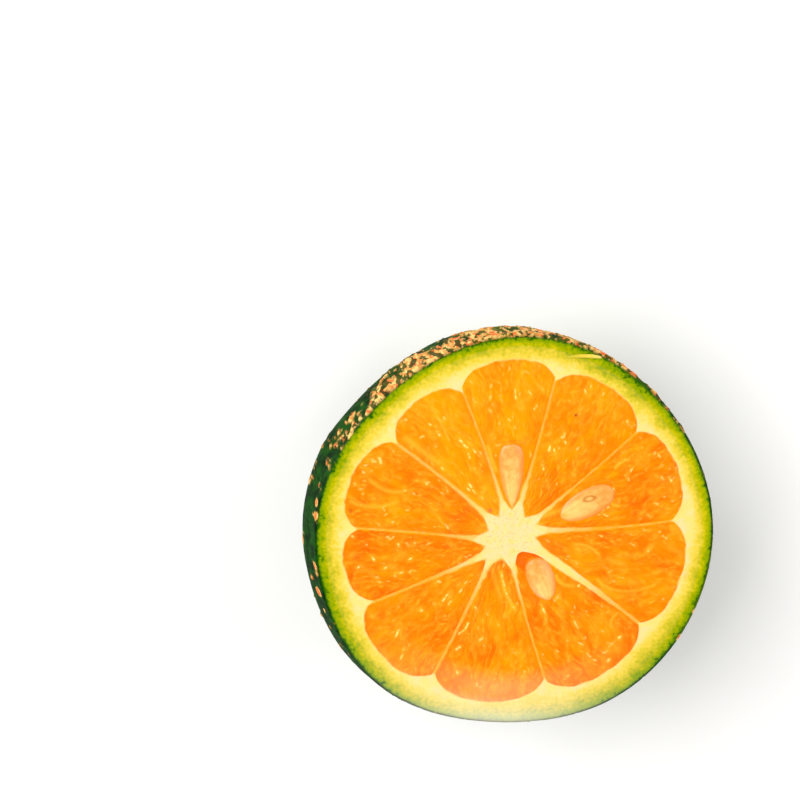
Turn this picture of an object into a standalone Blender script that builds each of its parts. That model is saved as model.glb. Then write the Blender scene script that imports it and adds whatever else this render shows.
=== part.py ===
"""Half of a rangpur lime, cut across its segments and resting on its rounded end.

Units are metres and +Z is up.  The origin is the middle of the small flat spot on which the
half rests, straight below the centre of the round cut face.  Azimuths are in degrees, counted
from +X towards +Y.  The pieces are the green rind, the cream pith with its core and its walls
between the segments, ten juicy segments and three seeds.
"""

import bmesh
import bpy
import numpy as np

MM = 0.001

# Outside of the half, a little more than half of a slightly three-sided ball
FACE_HEIGHT = 27.0 * MM
WAIST_HEIGHT = 24.3 * MM
WAIST_RADIUS = 28.0 * MM
DEPTH_BELOW_WAIST = 24.75 * MM
DEPTH_ABOVE_WAIST = 27.0 * MM
CUT_EDGE_ROUNDING = 0.45 * MM

# Lobes of the outline: how many, how high, and the azimuth of one crest
LOBES = (
    (3, 0.41 * MM, 88.0),
    (4, 0.045 * MM, 66.0),
    (5, 0.21 * MM, 15.4),
    (6, 0.07 * MM, 50.0),
)

# The body leans out on one side below the cut face
LEAN = 0.5 * MM
LEAN_AZIMUTH = 208.0
LEAN_DEPTH = 6.0 * MM

# Low swellings of the rind: height, waves round the fruit, waves down it, and both phases
SWELLINGS = (
    (0.12 * MM, 7, 3.0, 40.0, 15.0),
    (0.10 * MM, 11, 4.5, 200.0, 100.0),
    (0.08 * MM, 16, 6.5, 310.0, 165.0),
)
SWELLING_FADE = 16.0

# Scar of the blossom end, a shallow round dent just outside the flat spot
SCAR_REACH = 8.2 * MM
SCAR_AZIMUTH = 305.0
SCAR_BALL_RADIUS = 2.2 * MM
SCAR_DEPTH = 0.45 * MM

# Layers from the outside in, and the play between pieces that touch
RIND_THICKNESS = 1.5 * MM
PITH_UNDER_SEGMENTS = 1.45 * MM
PLAY = 0.3 * MM

# Walls between the segments, each by its azimuth about the core's centre at three distances
CORE_CENTRE = np.array((-0.7, 0.2)) * MM
WALL_DISTANCES = np.array((6.0, 13.0, 22.5))
WALLS = (
    (6.5, 3.5, 4.1),
    (36.6, 38.6, 40.0),
    (75.0, 75.2, 75.6),
    (106.0, 107.4, 109.2),
    (139.2, 139.1, 140.5),
    (181.5, 176.8, 176.0),
    (213.3, 207.9, 205.3),
    (234.5, 240.6, 242.0),
    (277.0, 281.5, 284.3),
    (329.0, 326.4, 324.5),
)
WALL_HALF_THICKNESS = 0.26 * MM
WALL_ROOT_SWELL = 0.3 * MM
WALL_ROOT_START = 4.0 * MM
WALL_ROOT_LENGTH = 2.5 * MM

# Segments in turn from the first wall: the reach from the core's centre to the middle of the
# outer edge, how much further the edge reaches at the later wall, and where the tip starts
SEGMENTS = (
    (24.95 * MM, 0.0 * MM, 4.6 * MM),
    (24.75 * MM, 0.0 * MM, 3.7 * MM),
    (24.85 * MM, -0.4 * MM, 4.0 * MM),
    (23.45 * MM, -0.3 * MM, 3.9 * MM),
    (23.9 * MM, 0.2 * MM, 3.7 * MM),
    (23.5 * MM, -0.2 * MM, 4.3 * MM),
    (24.6 * MM, 0.3 * MM, 5.8 * MM),
    (24.3 * MM, -0.4 * MM, 4.0 * MM),
    (24.7 * MM, 0.3 * MM, 3.0 * MM),
    (25.1 * MM, 0.1 * MM, 3.9 * MM),
)
CORNER_DROP = 2.2 * MM
CORNER_SHARPNESS = 3.5
TIP_FLARE = 1.6 * MM
OUTER_WALL_ALLOWANCE = 0.4 * MM
SEGMENT_CROWN = 0.35 * MM
CROWN_FLATNESS = 4
PULP_RIDGE = 0.1 * MM
PULP_RIDGES = 4

# Seeds: the segment each lies in, its pointed and its round end in plan, its width, its
# thickness, and how deep its middle lies below the cut face
SEEDS = {
    "seed_top": (3, (-0.65, 4.8), (-0.95, 13.0), 3.4 * MM, 2.4 * MM, 0.6 * MM),
    "seed_right": (1, (6.3, 3.1), (13.8, 6.1), 3.5 * MM, 2.4 * MM, 0.6 * MM),
    "seed_lower": (9, (4.9, -9.1), (2.2, -3.6), 3.7 * MM, 2.8 * MM, 0.9 * MM),
}
SEED_POINT_POWER = 0.85
SEED_ROUND_POWER = 0.5
POCKET_HEADROOM = 6.0 * MM

# Open hollow in the flesh round the lower seed
HOLLOW_SEGMENT = 9
HOLLOW_MIDDLE = (2.5 * MM, -5.1 * MM)
HOLLOW_AZIMUTH = -62.0
HOLLOW_HALF_SIZES = (4.5 * MM, 2.5 * MM, 3.0 * MM)

# Fineness of the faceted surfaces, and the bend past which a crease is drawn sharp
STEPS_ROUND = 64
RIND_STEPS_DOWN = 13
SHELL_STEPS_DOWN = 11
SHELL_LAST_TURN = 84.0
EDGE_STEPS = 3
SEGMENT_STEPS_ACROSS = 10
SEGMENT_STEPS_OUT = 8
OUTER_CROWDING = 1.4
SEED_STEPS_ROUND = 12
SEED_STEPS_ALONG = 9
SEED_END_TURNS = (25.0, 167.0)
BALL_STEPS = 16
SHARP_BEND = 40.0

# Red, green and blue in linear light, then roughness
FINISHES = {
    "rind": (0.045, 0.150, 0.012, 0.36),
    "pith": (0.900, 0.780, 0.300, 0.62),
    "flesh": (1.000, 0.270, 0.005, 0.24),
    "seed": (0.860, 0.580, 0.250, 0.42),
}


def clear_scene():
    """Remove whatever the file holds before the model is made."""
    for thing in list(bpy.data.objects):
        bpy.data.objects.remove(thing, do_unlink=True)


def finish(kind):
    """The Principled material of one kind of tissue."""
    material = bpy.data.materials.new(kind)
    material.use_nodes = True
    red, green, blue, roughness = FINISHES[kind]
    surface = material.node_tree.nodes["Principled BSDF"]
    surface.inputs["Base Color"].default_value = (red, green, blue, 1.0)
    surface.inputs["Roughness"].default_value = roughness
    surface.inputs["Metallic"].default_value = 0.0
    return material


def add_object(name, points, faces, material=None):
    """A smooth-shaded object from points and faces, with its faces turned outwards."""
    mesh = bpy.data.meshes.new(name)
    mesh.from_pydata([tuple(point) for point in points], [], faces)
    shell = bmesh.new()
    shell.from_mesh(mesh)
    bmesh.ops.recalc_face_normals(shell, faces=shell.faces)
    shell.to_mesh(mesh)
    shell.free()
    mesh.shade_smooth()
    mesh.set_sharp_from_angle(angle=np.radians(SHARP_BEND))
    thing = bpy.data.objects.new(name, mesh)
    bpy.context.collection.objects.link(thing)
    if material:
        mesh.materials.append(material)
    else:
        thing.hide_render = True
        thing.display_type = "WIRE"
    return thing


def ring_body(name, rings, material=None):
    """A closed body through equal rings of points, capped by its first and last ring."""
    rings = np.array(rings)
    count = rings.shape[1]
    faces = []
    for lower in range(len(rings) - 1):
        for step in range(count):
            here = lower * count + step
            beside = lower * count + (step + 1) % count
            faces.append((here, beside, beside + count, here + count))
    first = list(range(count))
    last = [(len(rings) - 1) * count + step for step in range(count)]
    faces.append(tuple(reversed(first)))
    faces.append(tuple(last))
    return add_object(name, rings.reshape(-1, 3), faces, material)


def grid_body(name, top, bottom, material=None):
    """A closed body between an upper and a lower grid of points with one outline in plan."""
    rows, columns = top.shape[:2]
    size = rows * columns
    number = np.arange(size).reshape(rows, columns)
    faces = []
    for row in range(rows - 1):
        for column in range(columns - 1):
            a, b = number[row, column], number[row, column + 1]
            c, d = number[row + 1, column + 1], number[row + 1, column]
            faces.append((a, b, c, d))
            faces.append((d + size, c + size, b + size, a + size))
    border = [*number[0, :-1], *number[:-1, -1], *number[-1, :0:-1], *number[:0:-1, 0]]
    for a, b in zip(border, border[1:] + border[:1]):
        faces.append((b, a, a + size, b + size))
    faces = [tuple(int(corner) for corner in face) for face in faces]
    points = np.concatenate((top.reshape(-1, 3), bottom.reshape(-1, 3)))
    return add_object(name, points, faces, material)


def cut_away(thing, cutters):
    """Cut hidden shapes out of an object with one Boolean for each."""
    for cutter in cutters:
        cut = thing.modifiers.new(cutter.name, "BOOLEAN")
        cut.operation = "DIFFERENCE"
        cut.solver = "EXACT"
        cut.object = cutter


def turn_at_height(height):
    """Turn below the waist, in degrees, at a height near the cut face."""
    return -np.degrees(np.arcsin((height - WAIST_HEIGHT) / DEPTH_ABOVE_WAIST))


FACE_TURN = turn_at_height(FACE_HEIGHT)
REST_TURN = np.degrees(np.arcsin(WAIST_HEIGHT / DEPTH_BELOW_WAIST))


def skin_ring(turn, inset=0.0, swollen=False, trim=0.0):
    """One level ring of the outer skin, or of a shell at a depth of inset under it.

    The meridian is two half ellipses that meet at the waist.  Turn is the ellipse's angle
    below the waist, in degrees.  The lobes and the lean fade towards the pole with the
    cosine of the turn, and trim draws the ring in for the rounded cut edge.
    """
    azimuth = np.linspace(0.0, 2.0 * np.pi, STEPS_ROUND, endpoint=False)
    spread = np.cos(np.radians(turn))
    reach = DEPTH_BELOW_WAIST - inset if turn > 0.0 else DEPTH_ABOVE_WAIST
    height = WAIST_HEIGHT - reach * np.sin(np.radians(turn))
    radius = np.full(STEPS_ROUND, WAIST_RADIUS - inset)
    for count, lobe, crest in LOBES:
        radius += lobe * spread * np.cos(count * (azimuth - np.radians(crest)))
    below = np.clip((FACE_HEIGHT - height) / LEAN_DEPTH, 0.0, 1.0)
    lean = LEAN * below * below * (3.0 - 2.0 * below) * spread
    radius += lean * np.cos(azimuth - np.radians(LEAN_AZIMUTH))
    radius = radius * spread - trim
    if swollen:
        fade = np.clip(turn / SWELLING_FADE, 0.0, 1.0)
        fade *= np.clip((REST_TURN - turn) / SWELLING_FADE, 0.0, 1.0)
        for rise, round_waves, down_waves, round_phase, down_phase in SWELLINGS:
            around = np.sin(round_waves * azimuth + np.radians(round_phase))
            down = np.sin(np.radians(down_waves * turn + down_phase))
            radius += fade * rise * around * down
    return np.column_stack(
        (radius * np.cos(azimuth), radius * np.sin(azimuth), np.full(STEPS_ROUND, height))
    )


def scar_cutter():
    """A ball that leaves the shallow scar of the blossom end."""
    spread = SCAR_REACH / WAIST_RADIUS
    rise = np.sqrt(1.0 - spread * spread)
    slope = DEPTH_BELOW_WAIST / WAIST_RADIUS * spread / rise
    outward = np.array((slope, -1.0)) / np.hypot(slope, 1.0)
    skin = np.array((SCAR_REACH, WAIST_HEIGHT - DEPTH_BELOW_WAIST * rise))
    reach, height = skin + outward * (SCAR_BALL_RADIUS - SCAR_DEPTH)
    azimuth = np.radians(SCAR_AZIMUTH)
    middle = (reach * np.cos(azimuth), reach * np.sin(azimuth), height)
    return ball("scar_cutter", middle, (SCAR_BALL_RADIUS,) * 3, 0.0)


def ball(name, middle, half_sizes, heading):
    """A hidden ellipsoid whose first half size points along an azimuth in degrees."""
    shape = bmesh.new()
    bmesh.ops.create_uvsphere(
        shape, u_segments=BALL_STEPS, v_segments=BALL_STEPS // 2, radius=1.0
    )
    points = np.array([vertex.co[:] for vertex in shape.verts]) * half_sizes
    faces = [tuple(corner.index for corner in face.verts) for face in shape.faces]
    shape.free()
    cosine, sine = np.cos(np.radians(heading)), np.sin(np.radians(heading))
    turned = np.column_stack(
        (
            points[:, 0] * cosine - points[:, 1] * sine,
            points[:, 0] * sine + points[:, 1] * cosine,
            points[:, 2],
        )
    )
    return add_object(name, turned + middle, faces)


def make_rind(material):
    """The green skin: a cup with a rounded cut edge, a flat spot below and one small scar."""
    rings = []
    edge_height = FACE_HEIGHT - CUT_EDGE_ROUNDING
    for turn in np.linspace(REST_TURN, turn_at_height(edge_height), RIND_STEPS_DOWN + 1):
        rings.append(skin_ring(turn, swollen=True))
    for bend in np.linspace(0.0, np.pi / 2.0, EDGE_STEPS + 1)[1:]:
        height = edge_height + CUT_EDGE_ROUNDING * np.sin(bend)
        trim = CUT_EDGE_ROUNDING * (1.0 - np.cos(bend))
        rings.append(skin_ring(turn_at_height(height), trim=trim))
    for turn in np.linspace(FACE_TURN, SHELL_LAST_TURN, SHELL_STEPS_DOWN + 1):
        rings.append(skin_ring(turn, inset=RIND_THICKNESS))
    rind = ring_body("rind", rings, material)
    cut_away(rind, [scar_cutter()])
    return rind


def wall_azimuth(index, distance):
    """Azimuth, in radians, of a wall's middle surface at a distance from the core's centre.

    It is a + b / distance + c * distance, drawn through the wall's three given azimuths.
    """
    def terms(millimetres):
        return np.stack((np.ones_like(millimetres), 1.0 / millimetres, millimetres), axis=-1)

    count = len(WALLS)
    factors = np.linalg.solve(terms(WALL_DISTANCES), np.array(WALLS[index % count]))
    degrees = terms(distance / MM) @ factors + 360.0 * (index // count)
    return np.radians(degrees)


def segment_grids(index, margin, headroom=0.0):
    """Upper and lower grid of points of one segment, drawn in all round by a margin.

    Rows run out from the tip to the outer edge and columns across from wall to wall.  The
    outer edge falls away towards its two corners with a power of the place across, the tip
    is a parabola, and the underside is an ellipse that follows the outer edge's distance.
    """
    reach, slant, tip = SEGMENTS[index]
    across = np.sin(np.linspace(-0.5, 0.5, SEGMENT_STEPS_ACROSS + 1) * np.pi)
    out = 1.0 - np.linspace(1.0, 0.0, SEGMENT_STEPS_OUT + 1)[:, None] ** OUTER_CROWDING
    edge = reach - margin + slant * across
    edge = edge - CORNER_DROP * np.abs(across) ** CORNER_SHARPNESS
    start = tip + margin + TIP_FLARE * across**2
    distance = start + out * (edge - start)
    swell = WALL_ROOT_SWELL * np.exp((WALL_ROOT_START - distance) / WALL_ROOT_LENGTH)
    clear = np.arcsin((WALL_HALF_THICKNESS + swell + margin) / distance)
    first = wall_azimuth(index, distance) + clear
    last = wall_azimuth(index + 1, distance) - clear
    azimuth = (first + last) / 2.0 + across * (last - first) / 2.0
    x = CORE_CENTRE[0] + distance * np.cos(azimuth)
    y = CORE_CENTRE[1] + distance * np.sin(azimuth)

    level = (1.0 - across**CROWN_FLATNESS) * (1.0 - (2.0 * out - 1.0) ** CROWN_FLATNESS)
    ridges = PULP_RIDGE * np.cos(np.pi * PULP_RIDGES * across) * level
    top = FACE_HEIGHT + headroom + SEGMENT_CROWN * level + ridges
    depth = DEPTH_BELOW_WAIST - RIND_THICKNESS - PLAY - PITH_UNDER_SEGMENTS - margin
    fullness = distance / (edge + OUTER_WALL_ALLOWANCE)
    bottom = WAIST_HEIGHT - depth * np.sqrt(1.0 - fullness**2)
    return np.stack((x, y, top), axis=-1), np.stack((x, y, bottom), axis=-1)


def make_pith(material):
    """The cream body under the rind, with its core, its ten walls and ten open pockets."""
    rings = []
    inset = RIND_THICKNESS + PLAY
    for turn in np.linspace(FACE_TURN, SHELL_LAST_TURN, SHELL_STEPS_DOWN + 1):
        rings.append(skin_ring(turn, inset=inset))
    pith = ring_body("pith", rings, material)
    cutters = []
    for index in range(len(SEGMENTS)):
        top, bottom = segment_grids(index, margin=0.0, headroom=PLAY)
        cutters.append(grid_body(f"pocket_cutter_{index + 1:02d}", top, bottom))
    cut_away(pith, cutters)
    return pith


def seed_body(name, material=None, margin=0.0, headroom=0.0):
    """A seed as a tapered egg, or with a margin and headroom the pocket that it lies in.

    Its section is an ellipse whose size along the seed is a power of the way from the point
    times a power of the way to the round end, and headroom is added to its upper half.
    """
    _, point, round_end, width, thickness, depth = SEEDS[name]
    point = np.array((*point, 0.0)) * MM
    along = np.array((*round_end, 0.0)) * MM - point
    length = np.linalg.norm(along)
    along /= length
    side = np.array((-along[1], along[0], 0.0))
    widest = SEED_POINT_POWER / (SEED_POINT_POWER + SEED_ROUND_POWER)
    peak = widest**SEED_POINT_POWER * (1.0 - widest) ** SEED_ROUND_POWER
    middle = point - margin * along + np.array((0.0, 0.0, FACE_HEIGHT - depth))
    bend = np.linspace(0.0, 2.0 * np.pi, SEED_STEPS_ROUND, endpoint=False)
    rings = []
    turns = np.radians(np.linspace(*SEED_END_TURNS, SEED_STEPS_ALONG))
    for step in (1.0 - np.cos(turns)) / 2.0:
        size = step**SEED_POINT_POWER * (1.0 - step) ** SEED_ROUND_POWER / peak
        centre = middle + along * step * (length + 2.0 * margin)
        sideways = np.cos(bend) * size * (width / 2.0 + margin)
        upwards = np.sin(bend) * size * (thickness / 2.0 + margin)
        upwards += np.clip(np.sin(bend), 0.0, 1.0) * size * headroom
        rings.append(centre + np.outer(sideways, side) + np.outer(upwards, (0.0, 0.0, 1.0)))
    return ring_body(name if material else f"{name}_cutter", rings, material)


def make_segments(material):
    """Ten wedges of flesh, three of them with a pocket for a seed and one with a hollow."""
    for index in range(len(SEGMENTS)):
        number = index + 1
        top, bottom = segment_grids(index, margin=PLAY)
        segment = grid_body(f"flesh_{number:02d}", top, bottom, material)
        cutters = [
            seed_body(name, margin=PLAY, headroom=POCKET_HEADROOM)
            for name in SEEDS
            if SEEDS[name][0] == number
        ]
        if number == HOLLOW_SEGMENT:
            middle = (*HOLLOW_MIDDLE, FACE_HEIGHT)
            cutters.append(ball("hollow_cutter", middle, HOLLOW_HALF_SIZES, HOLLOW_AZIMUTH))
        cut_away(segment, cutters)


def make_seeds(material):
    """Three seeds, nearly flush with the cut face."""
    for name in SEEDS:
        seed_body(name, material)


def main():
    """Build the half fruit from the outside in."""
    clear_scene()
    make_rind(finish("rind"))
    make_pith(finish("pith"))
    make_segments(finish("flesh"))
    make_seeds(finish("seed"))


main()
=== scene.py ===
"""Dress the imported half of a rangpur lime: its skin, its pith, its juicy segments and its seeds.

Everything is in metres with +Z up.  The half lies on its rounded end with the cut face level and
up, so each piece is drawn in plan about the middle of that face or about the middle of the core.
Azimuths are in degrees, counted from +X towards +Y.  Every new surface is a grid of points worked
out as whole arrays: a skin wound round the upright axis, a fan of ten walls and pockets, wedges
with a pattern of juice sacs, and tapered eggs for the seeds.
"""

import itertools
import math

import bpy
import numpy as np
from bpy.props import FloatProperty, FloatVectorProperty, IntProperty, PointerProperty
from mathutils import Matrix, Vector


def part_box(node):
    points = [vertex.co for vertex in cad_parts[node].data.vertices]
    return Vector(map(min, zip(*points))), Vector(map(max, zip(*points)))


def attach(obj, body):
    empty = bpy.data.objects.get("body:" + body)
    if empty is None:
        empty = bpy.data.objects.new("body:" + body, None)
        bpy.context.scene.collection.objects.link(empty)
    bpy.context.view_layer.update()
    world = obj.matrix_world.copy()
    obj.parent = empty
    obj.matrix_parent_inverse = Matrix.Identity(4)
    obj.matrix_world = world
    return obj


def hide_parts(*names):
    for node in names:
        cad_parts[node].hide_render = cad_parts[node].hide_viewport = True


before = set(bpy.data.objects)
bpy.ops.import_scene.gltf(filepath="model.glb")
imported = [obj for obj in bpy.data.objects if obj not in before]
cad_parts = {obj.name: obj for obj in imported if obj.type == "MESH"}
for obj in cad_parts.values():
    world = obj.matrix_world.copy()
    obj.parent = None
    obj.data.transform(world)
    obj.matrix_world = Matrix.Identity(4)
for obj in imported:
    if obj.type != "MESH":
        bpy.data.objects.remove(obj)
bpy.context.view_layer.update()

bl_info = {
    "name": "Rangpur Lime Half",
    "version": (1, 0, 0),
    "blender": (4, 5, 0),
    "location": "3D View > Sidebar > Rangpur",
    "description": "Builds a cut rangpur lime with its skin, pith, juicy segments and seeds",
    "category": "Object",
}

MM = 0.001
rind_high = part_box("rind")[1]

# Lobes of the outline: how many, how high in millimetres, and the azimuth of one crest
LOBES = ((3, 0.41, 88.0), (4, 0.045, 66.0), (5, 0.21, 15.4), (6, 0.07, 50.0))

# The body leans out on one side below the cut face
LEAN = 1.4 * MM
LEAN_AZIMUTH = 176.0
LEAN_DEPTH = 6.0 * MM

# Low swellings of the skin: millimetres high, waves round the fruit and down it, both phases
SWELLINGS = ((0.12, 7, 3.0, 40.0, 15.0), (0.10, 11, 4.5, 200.0, 100.0), (0.08, 16, 6.5, 310.0, 165.0))
SWELLING_FADE = 16.0

# Scar of the blossom end beside the flat spot, and the button in its middle
SCAR_REACH = 8.2 * MM
SCAR_AZIMUTH = 305.0
SCAR_RADIUS = 1.35 * MM
SCAR_DEPTH = 0.42 * MM
SCAR_BUTTON = 0.3 * MM

# Middle of the core, and the walls by their azimuth about it at three distances in millimetres
CORE_CENTRE = np.array((-0.7, 0.2)) * MM
WALL_DISTANCES = np.array((6.0, 13.0, 22.5))
WALLS = (
    (6.5, 3.5, 4.1),
    (36.6, 38.6, 40.0),
    (75.0, 75.2, 75.6),
    (106.0, 107.4, 109.2),
    (139.2, 139.1, 140.5),
    (181.5, 176.8, 176.0),
    (213.3, 207.9, 205.3),
    (234.5, 240.6, 242.0),
    (277.0, 281.5, 284.3),
    (329.0, 326.4, 324.5),
)

# Distance in millimetres within which a wall runs straight, and the swelling of its root
NEAREST_WALL_DISTANCE = 3.2
WALL_ROOT_SWELL = 0.22 * MM
WALL_ROOT_START = 4.0 * MM
WALL_ROOT_LENGTH = 1.5 * MM

# Half the thickness of each wall in millimetres, and how much fuller it is near the core
WALL_HALF_THICKNESSES = (0.15, 0.12, 0.12, 0.13, 0.16, 0.16, 0.17, 0.16, 0.13, 0.17)
WALL_FULLNESS = (1.6, 1.0, 1.0, 1.05, 1.1, 1.0, 1.2, 1.15, 1.0, 2.9)
WALL_FULL_LENGTH = 14.0 * MM

# How much juice stains each wall, and in millimetres where that starts and how long it takes
WALL_STAINS = (1.0, 1.0, 0.95, 0.95, 0.85, 1.0, 1.0, 0.9, 0.95, 0.85)
WALL_STAIN_STARTS = (1.5, 1.5, 1.5, 1.5, 1.5, 0.0, 3.0, 1.5, 1.5, 9.0)
WALL_STAIN_LENGTH = 11.5

# Painted light and shade of each segment: below zero deeper orange as painted shade, above zero yellower
# as painted light
SEGMENT_LIGHT_SHADE = (-0.05, 0.1, 0.3, 0.2, 0.0, -0.15, -0.1, -0.05, -0.1, 0.05)

# Segments in turn, in millimetres: reach, how much further the edge reaches at the later wall,
# and tip
SEGMENTS = (
    (24.95, 0.0, 3.7),
    (24.75, 0.0, 3.1),
    (24.85, -0.4, 3.6),
    (23.45, -0.3, 3.2),
    (23.9, 0.2, 3.2),
    (23.5, -0.2, 3.8),
    (24.6, 0.3, 4.6),
    (24.3, -0.4, 3.3),
    (24.7, 0.3, 2.8),
    (25.1, 0.1, 3.3),
)

# Outer corners of a segment, flare of its tip and the powers of that flare, and the pith left
# beyond a segment and under it
CORNER_DROP = 2.2 * MM
CORNER_SHARPNESS = 3.5
TIP_FLARE = 1.6 * MM
TIP_POWER = 2.0
HOLLOW_TIP_POWER = 4.5
OUTER_WALL_ALLOWANCE = 0.4 * MM
PITH_UNDER_SEGMENTS = 1.45 * MM

# Seeds: segment, pointed and round end in plan, width, reach below and above the cut, all in
# millimetres, and the two powers that shape the pointed and the round end
SEEDS = {
    "seed_top": (3, (-0.6, 4.1), (-0.95, 13.2), 3.4, 1.8, 0.4, 0.75, 0.3),
    "seed_right": (1, (6.2, 2.7), (13.5, 6.4), 3.95, 1.8, 0.4, 0.5, 0.4),
    "seed_lower": (9, (4.95, -9.2), (2.45, -3.25), 3.75, 2.2, 0.5, 0.5, 0.4),
}

# Rings and columns of a seed, powers of its section and dome, and its widest level below the cut
SEED_RINGS = 88
SEED_COLUMNS = 72
SEED_SECTION = 2.6
SEED_DOME = 2.2
SEED_WAIST_DEPTH = 0.03 * MM

# Oval eye on one seed's coat: place in plan and half sizes in millimetres, and heading in degrees
SEED_EYE = ("seed_right", (10.1, 5.35), (0.75, 0.34), 12.0)

# Hollow in the flesh round the lower seed's core end
HOLLOW_SEGMENT = 9
HOLLOW_MIDDLE = np.array((1.9, -3.4)) * MM
HOLLOW_AZIMUTH = -12.0
HOLLOW_HALF_SIZES = (2.1 * MM, 1.5 * MM, 1.3 * MM)

# Scale of the peel's colours below the skin, and where the green reaches further in: azimuth,
# spread in degrees, and how much further
RING_SCALE = 5.0 * MM
GREEN_REACHES = ((55.0, 16.0, 0.5), (95.0, 20.0, 0.25), (190.0, 30.0, 0.3), (315.0, 30.0, 0.4))

# Painted whitish haze of light along the cut's lower rim: azimuth and spread in degrees, and how
# much paler it grows outwards, with the start and the length of each rise in millimetres
PAINTED_HAZE_AZIMUTH = 266.0
PAINTED_HAZE_SPREAD = 26.0
PAINTED_HAZE_RISES = ((0.12, 19.0, 3.0), (0.38, 23.0, 3.5))
PAINTED_HAZE_DROP = 0.25 * MM


def linear(red, green, blue):
    """A colour as it looks on a screen, from 0 to 255, turned into linear light."""
    shown = np.array((red, green, blue)) / 255.0
    light = np.where(shown <= 0.04045, shown / 12.92, ((shown + 0.055) / 1.055) ** 2.4)
    return (*light.tolist(), 1.0)


def length(name, description, default):
    """A length in metres for the sidebar."""
    return FloatProperty(
        name=name, description=description, default=default, min=0.0, precision=5, unit="LENGTH"
    )


def paint(name, description, red, green, blue):
    """A colour for the sidebar, given as it looks on a screen."""
    return FloatVectorProperty(
        name=name,
        description=description,
        default=linear(red, green, blue),
        min=0.0,
        max=1.0,
        size=4,
        subtype="COLOR",
    )


class RANGPUR_PG_sizes(bpy.types.PropertyGroup):
    """Sizes of the half and of its finer surface."""

    face_height: length("Face height", "Height of the cut face above the rest", rind_high.z)
    waist_height: length("Waist height", "Height of the widest section", 24.3 * MM)
    waist_radius: length("Waist radius", "Mean radius of the widest section", 28.0 * MM)
    depth_below: length("Depth below", "Half axis of the body below the waist", 24.75 * MM)
    depth_above: length("Depth above", "Half axis of the body above the waist", 27.0 * MM)
    edge_rounding: length("Edge rounding", "Rounding of the edge of the cut", 0.4 * MM)
    rind_thickness: length("Rind thickness", "Thickness of the green skin", 1.5 * MM)
    gland_spacing: length("Gland spacing", "Distance between two oil glands", 1.15 * MM)
    gland_depth: length("Gland depth", "Depth of the pit over an oil gland", 0.13 * MM)
    crust_height: length("Crust height", "How far the russet crust stands up", 0.26 * MM)
    crown: length("Crown", "How far a segment's middle stands up", 0.15 * MM)
    sac_width: length("Sac width", "Width of a juice sac at the outer edge", 1.3 * MM)
    sac_length: length("Sac length", "Length of a juice sac", 4.4 * MM)
    sliver_width: length("Sliver width", "Width of the sliver of peel left on the cut", 0.6 * MM)
    sliver_height: length("Sliver height", "Thickness of that sliver", 0.34 * MM)


class RANGPUR_PG_colours(bpy.types.PropertyGroup):
    """Colours of the skin, the pith, the flesh, the seeds and the floor."""

    skin_dark: paint("Dark skin", "Darkest green of the skin", 4, 34, 4)
    skin_green: paint("Green skin", "Middle green of the skin", 22, 74, 9)
    skin_olive: paint("Olive skin", "Riper patches of the skin", 100, 120, 10)
    crust_tan: paint("Tan crust", "Russet crust of the skin", 204, 146, 70)
    crust_pale: paint("Pale crust", "Palest parts of the russet crust", 240, 196, 116)
    crust_red: paint("Red crust", "Cores of the russet crust and of small spots", 234, 110, 54)
    cut_dark: paint("Dark cut", "Outermost green of the cut skin", 34, 84, 0)
    cut_green: paint("Green cut", "Green next inside", 118, 144, 0)
    cut_lime: paint("Lime cut", "Lime green next inside", 152, 158, 0)
    cut_olive: paint("Olive cut", "Yellow green next inside", 190, 176, 6)
    cut_yellow: paint("Yellow cut", "Yellow next to the pith", 222, 194, 50)
    pith_cream: paint("Pith", "Cream of the pith", 255, 209, 112)
    core_pale: paint("Core", "Palest parts of the core", 255, 208, 150)
    core_speck: paint("Core flecks", "Greyish flecks of the core", 236, 172, 92)
    wall_orange: paint("Wall tint", "Juice that stains the outer walls", 255, 155, 0)
    # Colour of a painted whitish haze of light over the lowest part of the cut
    bloom: paint("Bloom", "Dried pale rim at the lowest part of the cut", 240, 232, 205)
    flesh: paint("Flesh", "Orange of the flesh", 255, 129, 0)
    flesh_deep: paint("Deep flesh", "Darker juice in the flesh", 255, 100, 0)
    flesh_light: paint("Light flesh", "Yellower juice in the flesh", 255, 152, 0)
    flesh_pale: paint("Pale flesh", "Paler sacs and membranes", 255, 176, 44)
    # Painted shade colour of the hollow, of a rim round each seed and of the pith's pockets
    shade_orange: paint("Red flesh", "Flesh in the hollow and round the seeds", 255, 138, 20)
    # Cream colour of the painted highlights on the wet flesh
    glint: paint("Glint", "Creamy flecks on torn sacs", 255, 222, 122)
    seed: paint("Seed", "Peach of the seeds", 255, 158, 68)
    seed_pale: paint("Pale seed", "Pale streaks of the seeds", 255, 204, 116)
    seed_edge: paint("Seed edge", "Tint of the seeds' sides", 255, 134, 28)
    seed_eye: paint("Seed eye", "Outline of a small oval eye on one seed", 176, 112, 0)
    blemish: paint("Blemish", "Small brown marks", 150, 62, 16)
    floor: paint("Floor", "Pale floor", 247, 246, 244)


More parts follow.
